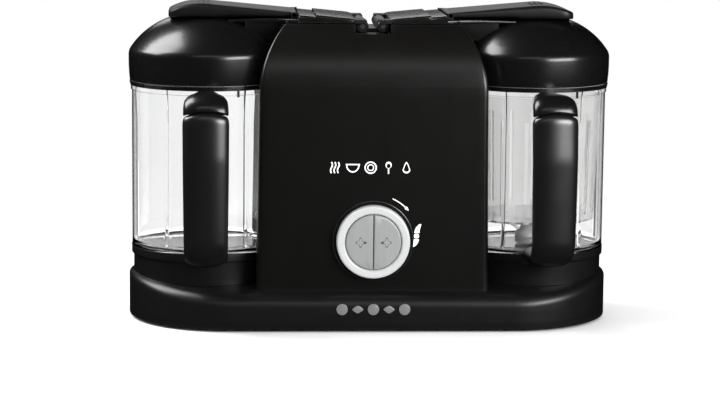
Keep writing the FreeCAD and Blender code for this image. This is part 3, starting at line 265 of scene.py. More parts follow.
SLOT_FINISHES: dict[str, Finish] = {
    "black_satin": SATIN_BLACK, "black_gloss": GLOSS_BLACK, "dark_plastic": DARK_PLASTIC,
    "clear_bowl": CLEAR_BOWL, "clear_smoke": CLEAR_BASKET, "white_plastic": WHITE_PLASTIC,
    "white_gloss": LAMP_WHITE, "silver_satin": DISC_SILVER, "soft_rubber": RUBBER,
    "seal_silicone": SILICONE, "stainless": STAINLESS, "badge_metal": BADGE_METAL,
    "cast_alloy": CAST_ALLOY, "motor_steel": MOTOR_STEEL, "bronze": BRONZE, "green_board": BOARD_GREEN,
}


# ---------------------------------------------------------------- surfaces

def full_turn(steps: int) -> Array:
    """Angles evenly round a circle, in radians, without the repeated last one."""
    return np.linspace(0, 2 * math.pi, steps, endpoint=False)


def arc_centre(first: Array, last: Array, radius: float) -> Array:
    """Centre of the circle through two points: their middle, plus the square root of radius squared
    less half the chord squared, to the left of the way from first to last."""
    chord = last - first
    length = np.linalg.norm(chord)
    inward = np.array([-chord[1], chord[0]]) / length
    return (first + last) / 2 + inward * math.sqrt(radius ** 2 - length ** 2 / 4)


def placed(name: str, data: bpy.types.ID) -> bpy.types.Object:
    """Make an object of a mesh, camera or light and put it in the scene."""
    made = bpy.data.objects.new(name, data)
    bpy.context.scene.collection.objects.link(made)
    return made


def shade(mesh: bpy.types.Mesh, sharp: float = CREASE_ANGLE) -> None:
    """Shade a mesh smooth, but keep edges past an angle in degrees crisp."""
    mesh.polygons.foreach_set("use_smooth", np.ones(len(mesh.polygons), bool))
    mesh.set_sharp_from_angle(angle=math.radians(sharp))


def grid_faces(rows: int, columns: int, wrap_rows: bool, wrap_columns: bool) -> Array:
    """Quads of a grid of points, row by row.

    Args:
        rows: number of rows of points.
        columns: number of points in a row.
        wrap_rows: join the last row to the first.
        wrap_columns: join each row's last point to its first.

    Returns:
        Index array with four columns.
    """
    row = np.arange(rows if wrap_rows else rows - 1)[:, None]
    column = np.arange(columns if wrap_columns else columns - 1)[None, :]
    after, beside = (row + 1) % rows, (column + 1) % columns
    corners = (row * columns + column, row * columns + beside, after * columns + beside,
               after * columns + column)
    return np.stack(np.broadcast_arrays(*corners), axis=-1).reshape(-1, 4)


def settle(mesh: bpy.types.Mesh, sharp: float) -> None:
    """Merge poles and seams, turn faces outwards and shade smooth up to an angle.

    Args:
        mesh: the mesh to finish.
        sharp: angle in degrees past which an edge stays crisp.
    """
    work = bmesh.new()
    work.from_mesh(mesh)
    bmesh.ops.remove_doubles(work, verts=work.verts, dist=0.000002)
    bmesh.ops.dissolve_degenerate(work, edges=work.edges, dist=0.000001)
    bmesh.ops.recalc_face_normals(work, faces=work.faces)
    work.to_mesh(mesh)
    work.free()
    shade(mesh, sharp)
    mesh.update()


def surface(name: str, points: Array, wrap_rows: bool = False, wrap_columns: bool = True,
            caps: bool = True, sharp: float = CREASE_ANGLE) -> bpy.types.Object:
    """Make an object from a grid of points.

    Args:
        name: the piece's name.
        points: array of rows x columns x 3.
        wrap_rows: join the last row to the first.
        wrap_columns: join each row into a ring.
        caps: close the first and last row with a face each.
        sharp: angle in degrees past which an edge stays crisp.

    Returns:
        The new object, at the origin.
    """
    rows, columns = points.shape[:2]
    faces = grid_faces(rows, columns, wrap_rows, wrap_columns).tolist()
    if caps and not wrap_rows:
        faces.append(list(range(columns))[::-1])
        faces.append(list(range((rows - 1) * columns, rows * columns)))
    mesh = bpy.data.meshes.new(name)
    mesh.from_pydata(points.reshape(-1, 3).tolist(), [], faces)
    mesh.validate()
    settle(mesh, sharp)
    return placed(name, mesh)


def joined(name: str, parts: Sequence[bpy.types.Object]) -> bpy.types.Object:
    """Join objects into one mesh object with this name."""
    work = bmesh.new()
    for part in parts:
        work.from_mesh(part.data)
        bpy.data.objects.remove(part)
    mesh = bpy.data.meshes.new(name)
    work.to_mesh(mesh)
    work.free()
    shade(mesh)
    return placed(name, mesh)


def rounded(corners: Sequence[tuple[float, float, float]], closed: bool = True, steps: int = 7) -> Array:
    """Outline whose corners are each replaced by a tangent arc.

    The arc at a corner starts and ends a setback along its two edges: radius over the tangent of
    half the corner's angle, and follows the circle between them.

    Args:
        corners: x, y and fillet radius of each corner, in order.
        closed: whether the outline returns to its start.
        steps: points in each fillet.

    Returns:
        Array of points x 2.
    """
    places = np.array([corner[:2] for corner in corners], float)
    out: list[Array] = []
    for count, (x, y, radius) in enumerate(corners):
        here = np.array([x, y], float)
        if radius <= 0 or (not closed and count in (0, len(corners) - 1)):
            out.append(here[None, :])
            continue
        before = places[count - 1] - here
        after = places[(count + 1) % len(places)] - here
        before, after = before / np.linalg.norm(before), after / np.linalg.norm(after)
        half = math.acos(float(np.clip(before @ after, -1, 1))) / 2
        bisector = (before + after) / np.linalg.norm(before + after)
        centre = here + bisector * radius / math.sin(half)
        first = here + before * radius / math.tan(half) - centre
        last = here + after * radius / math.tan(half) - centre
        share = np.linspace(0, 1, steps)[:, None]
        sweep = math.pi - 2 * half
        out.append(centre + (np.sin((1 - share) * sweep) * first + np.sin(share * sweep) * last)
                   / math.sin(sweep))
    return np.concatenate(out)


def lathe(name: str, profile: Array, axis: tuple[float, float], segments: int = 160,
          radius_at: Callable[[Array, Array, Array], Array] | None = None,
          facing: bool = False, sharp: float = CREASE_ANGLE) -> bpy.types.Object:
    """Turn a closed profile about an axis: x, y = centre + r times cosine and sine, z = height.

    Args:
        name: the piece's name.
        profile: points of radius and height, a closed loop.
        axis: the axis's place, x and y; or x and z for a piece that faces -Y.
        segments: points round the axis.
        radius_at: optional change of radius from angle, radius and height.
        facing: turn about an axis along -Y, with height measured towards the front.
        sharp: angle past which an edge stays crisp.

    Returns:
        The new object.
    """
    angle = full_turn(segments)[None, :]
    radius = np.repeat(profile[:, :1], segments, axis=1)
    height = np.repeat(profile[:, 1:], segments, axis=1)
    if radius_at is not None:
        radius = radius_at(np.broadcast_to(angle, radius.shape), radius, height)
    across, up = axis[0] + radius * np.cos(angle), axis[1] + radius * np.sin(angle)
    points = np.stack([across, -height, up] if facing else [across, up, height], axis=-1)
    return surface(name, points, wrap_rows=True, sharp=sharp)


def oval(width: float, depth: float, power: float, steps: int = 48) -> Array:
    """Closed super-ellipse: half-width times the cosine, and half-depth times the sine, each raised
    to 2 / power with its sign kept. Power 2 is an ellipse; larger powers are squarer."""
    angle = full_turn(steps)
    cosine, sine = np.cos(angle), np.sin(angle)
    return np.stack([width * np.sign(cosine) * np.abs(cosine) ** (2 / power),
                     depth * np.sign(sine) * np.abs(sine) ** (2 / power)], axis=-1)


def token(name: str, outline: Array, centre: tuple[float, float], back: float, front: float,
          edge: float = 0.0) -> bpy.types.Object:
    """Flat raised shape that faces -Y: its outline carried from back to front, drawn in at the edge.

    Args:
        name: the piece's name.
        outline: closed outline of x and z about the centre.
        centre: x and z of the centre.
        back: y of the hidden side.
        front: y of the face.
        edge: how far the face is drawn in, for a soft rim.

    Returns:
        The new object.
    """
    size = np.abs(outline).max()
    levels = [(back, 1.0), (front + edge, 1.0), (front + edge * 0.3, 1 - edge * 0.3 / size),
              (front, 1 - edge / size)]
    rows = [np.stack([centre[0] + outline[:, 0] * scale, np.full(len(outline), y),
                      centre[1] + outline[:, 1] * scale], axis=-1) for y, scale in levels]
    return surface(name, np.array(rows))


def ribbon(name: str, path: Array, width: Array, centre: tuple[float, float], back: float,
           front: float) -> bpy.types.Object:
    """Printed line that faces -Y: an open path of x and z, made as wide as stated at each point."""
    along = np.gradient(path, axis=0)
    along /= np.linalg.norm(along, axis=1)[:, None]
    across = np.stack([-along[:, 1], along[:, 0]], axis=-1) * width[:, None] / 2
    outline = np.concatenate([path + across, (path - across)[::-1]])
    return token(name, outline, centre, back, front)


def dress(piece: bpy.types.Object, finish: Finish, body: str,
          replaces: Sequence[str] = ()) -> bpy.types.Object:
    """Give a piece its finish, its body and the nodes that it stands for."""
    piece.data.materials.clear()
    piece.data.materials.append(finish.material())
    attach(piece, body)
    if replaces:
        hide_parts(*replaces)
    LOG.info("%s on %s, %d faces", piece.name, body, len(piece.data.polygons))
    return piece


def carve(piece: bpy.types.Object, *tools: bpy.types.Object) -> None:
    """Cut the tools out of a piece and keep the result as its mesh.

    Args:
        piece: the piece to cut.
        tools: closed objects, which are removed afterwards.
    """
    for tool in tools:
        cutter = piece.modifiers.new("cut", "BOOLEAN")
        cutter.object = tool
        cutter.operation = "DIFFERENCE"
        cutter.solver = "EXACT"
    graph = bpy.context.evaluated_depsgraph_get()
    mesh = bpy.data.meshes.new_from_object(piece.evaluated_get(graph))
    piece.modifiers.clear()
    piece.data = mesh
    for tool in tools:
        bpy.data.objects.remove(tool)
    shade(mesh)


def box_tool(low: Sequence[float], high: Sequence[float]) -> bpy.types.Object:
    """Closed cutting box between two corners."""
    ring = np.array([(low[0], low[1]), (high[0], low[1]), (high[0], high[1]), (low[0], high[1])])
    rows = [np.column_stack([ring, np.full(4, z)]) for z in (low[2], high[2])]
    return surface("cutting_box", np.array(rows))


# ---------------------------------------------------------------- base and tower

@dataclass
class Base:
    """Long stadium-shaped base with a crowned top, rounded edge and two round wells."""

    crown_radius: float = 305 * MM
    front_round: float = 8 * MM
    end_round: float = 4.5 * MM
    lip: float = 4 * MM
    well_radius: float = 61.3 * MM
    well_floor: float = 31 * MM
    well_round: float = 1.6 * MM
    bowl_x: float = 0.0

    def __post_init__(self) -> None:
        """Read the outer size from the frame."""
        low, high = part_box("base_housing")
        self.half_length, self.half_depth = high.x, high.y
        self.bottom, self.top = low.z, high.z

    def crown(self, y: Array) -> Array:
        """Height of the crowned top: a circle's arc across the depth."""
        return self.top - self.crown_radius + np.sqrt(self.crown_radius ** 2 - y ** 2)

    def outline(self, steps: int = 56) -> tuple[Array, Array]:
        """Spine points and outward normals round a stadium: two half circles joined by straight runs."""
        reach = self.half_length - self.half_depth
        turn = np.radians(np.linspace(-90, 90, steps))
        straight = np.linspace(1, -1, 2 * steps)[1:-1]
        spine_x = np.concatenate([np.full(steps, reach), reach * straight, np.full(steps, -reach),
                                  -reach * straight])
        angle = np.concatenate([turn, np.full(len(straight), math.pi / 2), turn + math.pi,
                                np.full(len(straight), -math.pi / 2)])
        normal = np.stack([np.cos(angle), np.sin(angle)], axis=-1)
        return np.stack([spine_x, np.zeros_like(spine_x)], axis=-1), normal

    def shell(self) -> bpy.types.Object:
        """Rows run from the underside lip, up the side, round the edge and in over the top."""
        spine, normal = self.outline()
        edge = self.end_round + (self.front_round - self.end_round) * np.abs(normal[:, 1])

        def ring(inset: Array | float, height: Array | float | None, drop: Array | float = 0.0) -> Array:
            """One row: the stadium drawn in by inset, at a height or that far below the crown."""
            flat = spine + normal * (self.half_depth - np.asarray(inset)).reshape(-1, 1)
            z = self.crown(flat[:, 1]) - drop if height is None else np.full(len(flat), height)
            return np.column_stack([flat, z])

        rows = [ring(self.lip, self.bottom + self.lip), ring(self.lip, self.bottom),
                ring(1 * MM, self.bottom), ring(0.25 * MM, self.bottom + 0.4 * MM),
                ring(0, self.bottom + 1.3 * MM)]
        side = ring(0, None, edge)
        rows += [rows[-1] + (side - rows[-1]) * share for share in (0.35, 0.7)]
        for angle in np.radians(np.linspace(0, 90, 9)):
            rows.append(ring(edge * (1 - math.cos(angle)), None, edge * (1 - math.sin(angle))))
        for share in np.linspace(0, 1, 16)[1:]:
            rows.append(ring(edge + (self.half_depth - edge) * share, None))
        LOG.info("base rounding up to %.1f mm", float(edge.max()) / MM)
        return surface("base_shell", np.array(rows))

    def well_tool(self, side: Side) -> bpy.types.Object:
        """Cutter for one well: a cylinder whose rim opens out along the crowned top."""
        angle = full_turn(160)
        bend = np.radians(np.linspace(0, 90, 7))
        radii = np.concatenate([[self.well_radius], self.well_radius + self.well_round * (1 - np.cos(bend)),
                                [self.well_radius + self.well_round + 0.5 * MM]])
        drops = np.concatenate([[0], self.well_round * (1 - np.sin(bend)), [-4 * MM]])
        rows = []
        for radius, drop in zip(radii, drops):
            y = radius * np.sin(angle)
            z = self.crown(y) - drop + 0.02 * MM
            rows.append(np.column_stack([self.bowl_x * side.value + radius * np.cos(angle), y, z]))
        rows[0][:, 2] = self.well_floor
        return surface("well_tool", np.array(rows))

    def build(self) -> None:
        """Make the shell and cut its wells."""
        shell = self.shell()
        carve(shell, *[self.well_tool(side) for side in Side])
        dress(shell, SATIN_BLACK, "machine", ["base_housing"])


@dataclass
class Tower:
    """Central tower: a front and a rear cover, waisted round the bowls and rolled in at the top."""

    wall: float = 2.4 * MM
    shoulder: float = 197 * MM
    taper: float = 2.2 * MM
    roll_radius: float = 80 * MM
    taper_radius: float = 90 * MM
    corner: float = 6.5 * MM
    waist_radius: float = 76 * MM
    seam: float = -20 * MM
    low: float = 27 * MM
    shoulder_y: float = 68.5 * MM
    top_y: float = 44 * MM
    top_half: float = 72 * MM
    notch_half: float = 14.2 * MM
    notch_z: float = 239.5 * MM
    bowl_x: float = 0.0

    def __post_init__(self) -> None:
        """Read the outer size from the frame."""
        low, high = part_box("tower_front_cover")
        self.half, self.front = high.x, -low.y
        self.top = high.z
        self.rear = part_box("tower_rear_cover")[1].y

    def lean(self, height: Array, low_value: float, shoulder_value: float, top_value: float,
             radius: float) -> Array:
        """Distance from the middle at each height: straight to the shoulder, then a circle's arc.

        Args:
            height: heights.
            low_value: distance at the foot.
            shoulder_value: distance at the shoulder.
            top_value: distance at the top.
            radius: the arc's radius.

        Returns:
            The distances.
        """
        share = np.clip((height - self.low) / (self.shoulder - self.low), 0, 1)
        straight = low_value + (shoulder_value - low_value) * share
        first = np.array([shoulder_value, self.shoulder])
        last = np.array([top_value, self.top])
        centre = arc_centre(first, last, radius)
        curved = centre[0] + np.sqrt(np.maximum(radius ** 2 - (height - centre[1]) ** 2, 0))
        return np.where(height <= self.shoulder, straight, curved)

    def cover(self, name: str, facing: int) -> bpy.types.Object:
        """One cover, as rows of plan outlines; facing is -1 for the front and +1 for the rear.

        Each row runs along the waist's circle, round the corner and across the face, mirrored.
        """
        height = np.concatenate([np.linspace(self.low, self.shoulder, 22),
                                 np.linspace(self.shoulder, self.top, 26)[1:]])
        face_low = self.front if facing < 0 else self.rear
        half = self.lean(height, self.half, self.half - self.taper, self.top_half, self.taper_radius)
        face = self.lean(height, face_low, self.shoulder_y, self.top_y, self.roll_radius)
        start = self.seam * facing
        waist_end = np.sqrt(self.waist_radius ** 2 - (self.bowl_x - half) ** 2)
        corner = np.minimum(self.corner, (face - waist_end) * 0.7)
        share = np.linspace(0, 1, 26)[None, :]
        depth = start + (waist_end[:, None] - start) * share
        waist = np.stack([self.bowl_x - np.sqrt(self.waist_radius ** 2 - depth ** 2), depth], axis=-1)
        turn = np.radians(np.linspace(0, 90, 9))[None, :]
        round_x = half[:, None] - corner[:, None] * (1 - np.cos(turn))
        round_y = face[:, None] - corner[:, None] * (1 - np.sin(turn))
        across = round_x[:, -1:] * np.linspace(1, 0, 18)[None, 1:]
        flat = np.stack([across, np.broadcast_to(face[:, None], across.shape)], axis=-1)
        right = np.concatenate([waist, np.stack([round_x, round_y], axis=-1), flat], axis=1)
        left = right[:, -2::-1] * np.array([-1, 1])
        plan = np.concatenate([right, left], axis=1) * np.array([1, facing])
        lifted = np.broadcast_to(height[:, None, None], (*plan.shape[:2], 1))
        points = np.concatenate([plan, lifted], axis=-1)
        lip = points[-1] * np.array([0.985, (self.top_y - 3 * MM) / self.top_y, 1])
        points = np.concatenate([points, lip[None]])
        if facing < 0:
            points = points[:, ::-1]
        made = surface(name, points, wrap_columns=False, caps=False)
        skin = made.modifiers.new("wall", "SOLIDIFY")
        skin.thickness = self.wall
        skin.offset = -1
        skin.use_even_offset = False
        notch = box_tool((-self.notch_half, -0.2, self.notch_z), (self.notch_half, 0.2, self.top + 0.01))
        carve(made, notch)
        return made

    def build(self) -> None:
        """Make both covers."""
        front = self.cover("tower_front_shell", -1)
        dress(front, TOWER_BLACK, "machine", ["tower_front_cover"])
        rear = self.cover("tower_rear_shell", 1)
        dress(rear, TOWER_BLACK, "machine", ["tower_rear_cover"])


# ---------------------------------------------------------------- lids and levers

@dataclass
class Lid:
    """Domed lid whose wing runs over the tower to its hinge."""

    side: Side
    bowl_x: float
    radius: float = 64.6 * MM
    skirt: float = 197.6 * MM
    crease: float = 222 * MM
    ease: float = 10 * MM
    top: float = 249.4 * MM
    flat: float = 30 * MM
    dome_radius: float = 66 * MM
    flare: float = 0.9 * MM
    recess_x: tuple[float, float] = (47 * MM, 60 * MM)
    recess_depth: float = 1.5 * MM
    neck_x: tuple[float, float] = (73.5 * MM, 104 * MM)
    neck_half: float = 30 * MM
    neck_low: float = 233 * MM
    wall: float = 2.6 * MM
    hinge_x: float = 8.5 * MM
    hinge_z: float = 245 * MM
    hinge_radius: float = 5 * MM
    knuckle_bore: float = 2.1 * MM
    knuckle_end: float = 40 * MM
    wing_low: float = 247.6 * MM
    wing_inner: float = 14.5 * MM
    wing_outer: float = 61 * MM
    wing_half: float = 44 * MM
    nose_x: float = 5 * MM
    nose_y: tuple[float, float] = (25.3 * MM, 44 * MM)
    tongue_end: float = 118 * MM
    tongue_half: float = 35 * MM
    tongue_top: float = 250.6 * MM
    peak: float = 250 * MM
    slope: float = WING_SLOPE
    ear_y: tuple[float, float] = (31.4 * MM, 35 * MM)
    pivot: tuple[float, float] = LEVER_PIVOT

    def dome_profile(self) -> Array:
        """Closed wall profile: skirt, eased crease, circular dome and flat crown, then back inside."""
        first, last = np.array([self.radius, self.crease]), np.array([self.flat, self.top])
        centre = arc_centre(first, last, self.dome_radius)
        angles = np.arctan2([first[1] - centre[1], last[1] - centre[1]],
                            [first[0] - centre[0], last[0] - centre[0]])
        sweep = np.linspace(angles[0], angles[1], 30)
        dome = centre + self.dome_radius * np.stack([np.cos(sweep), np.sin(sweep)], axis=-1)
        corners = [(self.radius, self.crease - 7 * MM, 0.0), (self.radius, self.crease, self.ease),
                   (float(dome[6, 0]), float(dome[6, 1]), 0.0)]
        share = np.linspace(0, 1, 16)
        barrel = np.stack([self.radius - self.flare * (1 - share) ** 2.2,
                           self.skirt + 0.5 * MM + (self.crease - 7.5 * MM - self.skirt) * share], axis=-1)
        foot = np.array([[self.radius - self.wall, self.skirt],
                         [self.radius - self.flare - 0.5 * MM, self.skirt]])
        outer = np.concatenate([foot, barrel[:-1], rounded(corners, closed=False)])
        middle = np.array([[1e-5, self.top], [1e-5, self.top - self.wall]])
        inner = np.stack([dome[::-1, 0] - self.wall * 0.6, dome[::-1, 1] - self.wall], axis=-1)
        inner[:, 0] = np.clip(inner[:, 0], 0, self.radius - self.wall)
        return np.concatenate([outer, dome[7:], middle, inner])

    def mirrored(self, points: Array) -> Array:
        """Carry points worked out for the right-hand lid to this lid's side."""
        return points * np.array([self.side.value, 1, 1])

    def slab(self, stations: Array, half: Array, low: Array, high: Array, edge: float) -> bpy.types.Object:
        """Loft along X of rounded rectangles.

        Args:
            stations: x of each section.
            half: half-depth of each section.
            low: underside of each section.
            high: top of each section.
            edge: rounding of the long edges.

        Returns:
            The closed loft.
        """
        rows = []
        for x, reach, bottom, roof in zip(stations, half, low, high):
            soft = min(edge, (roof - bottom) * 0.45)
            outline = rounded([(-reach, bottom, soft * 0.5), (reach, bottom, soft * 0.5),
                               (reach, roof, soft), (-reach, roof, soft)], steps=6)
            rows.append(np.column_stack([np.full(len(outline), x), outline]))
        return surface("lid_slab", self.mirrored(np.array(rows)))

    def wing(self) -> list[bpy.types.Object]:
        """Sloping wing over the tower, its noses at the hinge, its tongue and the lever's ears."""
        near, far = self.recess_x
        edge = 0.3 * MM
        stations = np.concatenate([np.linspace(self.wing_inner, near - edge, 10), [near + edge, far - edge],
                                   [far + edge, self.wing_outer]])
        full = np.full_like(stations, self.wing_half)
        full[0] -= 0.8 * MM
        full[-1] -= 0.8 * MM
        top = self.peak + self.slope * stations
        top[[0, -1]] -= 0.5 * MM
        top[10:12] -= self.recess_depth
        parts = [self.slab(stations, full, np.full_like(stations, self.wing_low), top, 1.8 * MM)]
        reach = np.linspace(self.wing_outer - 2 * MM, self.tongue_end, 12)
        spread = np.interp(reach, [self.wing_outer, 76 * MM, self.tongue_end],
                           [self.wing_half - 1 * MM, self.tongue_half, self.tongue_half - 6 * MM])
        roof = np.interp(reach, [self.wing_outer, 90 * MM, self.tongue_end],
                         [self.tongue_top, self.tongue_top, self.top - 0.2 * MM])
        parts.append(self.slab(reach, spread, np.full_like(reach, self.wing_low), roof, 1.2 * MM))
        parts.append(self.neck())
        for sign in (-1, 1):
            near, far = self.nose_y
            low = np.array([self.nose_x, near * sign, self.wing_low])
            high = np.array([self.wing_inner + 1 * MM, far * sign, self.peak + self.slope * self.nose_x])
            parts.append(self.block(low, high, 1.2 * MM))
            parts.append(self.knuckle(sign))
            ear_low, ear_high = self.ear_y
            parts.append(self.block(np.array([self.wing_outer - 1 * MM, ear_low * sign, self.wing_low]),
                                    np.array([self.pivot[0] + 2.4 * MM, ear_high * sign,
                                              self.pivot[1] + 2 * MM]), 1.4 * MM))
        return parts

    def neck(self) -> bpy.types.Object:
        """Neck that carries the steam way into the dome; its underside slopes up towards the tower."""
        near, far = self.neck_x
        stations = np.linspace(near, far, 12)
        low = np.interp(stations, [near, near + 8 * MM, far],
                        [self.neck_low + 9 * MM, self.neck_low, self.neck_low])
        high = np.full_like(stations, self.wing_low + 1 * MM)
        return self.slab(stations, np.full_like(stations, self.neck_half), low, high, 1.5 * MM)

    def block(self, low: Array, high: Array, edge: float) -> bpy.types.Object:
        """Box with rounded upright section, between two corners."""
        x0, x1 = sorted((low[0], high[0]))
        z0, z1 = sorted((low[2], high[2]))
        section = rounded([(x0, z0, edge), (x1, z0, edge), (x1, z1, edge), (x0, z1, edge)], steps=5)
        rows = [np.column_stack([section[:, 0], np.full(len(section), y), section[:, 1]])
                for y in (low[1], high[1])]
        return surface("lid_block", self.mirrored(np.array(rows)))

    def knuckle(self, sign: int) -> bpy.types.Object:
        """Hinge barrel round the pin, bored through."""
        near, far = self.nose_y[0] * sign, self.knuckle_end * sign
        bore, outer, ease = self.knuckle_bore, self.hinge_radius, 0.4 * MM
        angle = full_turn(40)
        rows = []
        for radius, y in ((bore, near), (outer - ease, near), (outer, near + ease * sign),
                          (outer, far - ease * sign), (outer - ease, far), (bore, far)):
            rows.append(np.column_stack([self.hinge_x + radius * np.cos(angle), np.full(len(angle), y),
                                         self.hinge_z + radius * np.sin(angle)]))
        return surface("lid_knuckle", self.mirrored(np.array(rows)), wrap_rows=True)

    def build(self) -> None:
        """Make the lid as one piece."""
        dome = lathe("lid_dome", self.dome_profile(), (self.bowl_x * self.side.value, 0.0), 200)
        lid = joined(f"{self.side.word}_lid_dome", [dome, *self.wing()])
        dress(lid, GLOSS_BLACK, f"{self.side.word}_lid", [f"{self.side.word}_lid_shell"])


@dataclass
class Lever:
    """Long lock lever: a blade with a dished top, rounded tip and three finger ribs."""

    side: Side
    half: float = 31 * MM
    under: float = 251.1 * MM
    inner: float = 62.2 * MM
    tip: float = 166.5 * MM
    tip_z: float = 256.2 * MM
    rib_x: float = 138 * MM
    close_run: float = 10 * MM
    dome_under: float = 249.95 * MM
    tongue_end: float = 119 * MM
    peak: float = 250.2 * MM
    slope: float = WING_SLOPE
    dish: float = 1.2 * MM
    pivot: tuple[float, float] = LEVER_PIVOT
    rib_pitch: float = 4 * MM
    rib_sink: float = 0.81 * MM
    bore: float = 1.56 * MM
    barrel_radius: float = 2.4 * MM

    def top(self, x: Array) -> Array:
        """Top height: the lid's slope up to the ribs, then a parabola down to the tip."""
        past = np.clip((x - self.rib_x) / (self.tip - self.rib_x), 0, 1)
        crest = self.peak + self.slope * np.minimum(x, self.rib_x)
        return crest + (self.tip_z - crest) * past ** 2.3

    def blade(self) -> bpy.types.Object:
        """Loft of squarish super-ellipses along X; the half-depth closes as an ellipse at the tip."""
        start = self.tip - self.close_run
        turn = np.radians(np.linspace(6, 90, 16))
        x = np.concatenate([[self.inner, self.inner + 0.8 * MM],
                            np.linspace(self.inner + 2.5 * MM, start, 48),
                            start + self.close_run * np.sin(turn)])
        close = np.clip((x - start) / self.close_run, 0, 1)
        half = self.half * (0.74 + 0.26 * np.sqrt(np.maximum(1 - close ** 2, 0)))
        half *= 1 - 0.03 * np.clip((x - self.inner) / (self.tip - self.inner), 0, 1)
        under = np.interp(x, [self.tongue_end, self.tongue_end + 3 * MM], [self.under, self.dome_under])
        roof, floor = self.top(x), under + 0.5 * MM * close
        squeeze = np.ones_like(x)
        squeeze[0], squeeze[-1] = 0.55, 0.7
        squeeze[1], squeeze[-2] = 0.85, 0.93
        middle, thick = (roof + floor) / 2, (roof - floor) / 2 * squeeze
        ring = oval(1.0, 1.0, 5.0, 72)
        y = half[:, None] * ring[None, :, 0]
        z = middle[:, None] + thick[:, None] * ring[None, :, 1]
        inside = np.clip(1 - (ring[:, 0] / 0.82) ** 2, 0, 1) * (ring[:, 1] > 0)
        fade = np.clip((x - self.inner) / (12 * MM), 0, 1) * np.clip((self.tip - x) / (20 * MM), 0, 1)
        z = z - self.dish * fade[:, None] * inside[None, :]
        points = np.stack([np.broadcast_to(x[:, None], y.shape) * self.side.value, y, z], axis=-1)
        return surface("lever_blade", points)

    def rib(self, count: int) -> bpy.types.Object:
        """One finger rib: a half-sunk rounded bar across the blade."""
        x = self.rib_x + (count - 1) * self.rib_pitch
        along = np.linspace(-1, 1, 16)
        swell = np.sqrt(np.maximum(1 - along ** 4, 0.02))
        ring = oval(1.1 * MM, 1.0 * MM, 2.2, 16)
        rows = [np.column_stack([(x + ring[:, 0] * size) * self.side.value, np.full(16, y),
                                 float(self.top(np.array(x))) - self.rib_sink + ring[:, 1] * size])
                for y, size in zip(along * self.half * 0.55, swell)]
        return surface("lever_rib", np.array(rows))

    def barrel(self) -> bpy.types.Object:
        """Round barrel at the pivot, bored for the pin."""
        angle = full_turn(32)
        inside, outside, end = self.bore, self.barrel_radius, self.half
        rows = [np.column_stack([(self.pivot[0] + radius * np.cos(angle)) * self.side.value,
                                 np.full(len(angle), y), self.pivot[1] + radius * np.sin(angle)])
                for radius, y in ((inside, -end), (outside, -end), (outside, end), (inside, end))]
        return surface("lever_barrel", np.array(rows), wrap_rows=True)

    def build(self) -> None:
        """Make the lever as one piece."""
        parts = [self.blade(), self.barrel(), *[self.rib(count) for count in range(3)]]
        lever = joined(f"{self.side.word}_lever_blade", parts)
        dress(lever, LEVER_BLACK, f"{self.side.word}_lever", [f"{self.side.word}_lock_lever"])


# ---------------------------------------------------------------- bowls

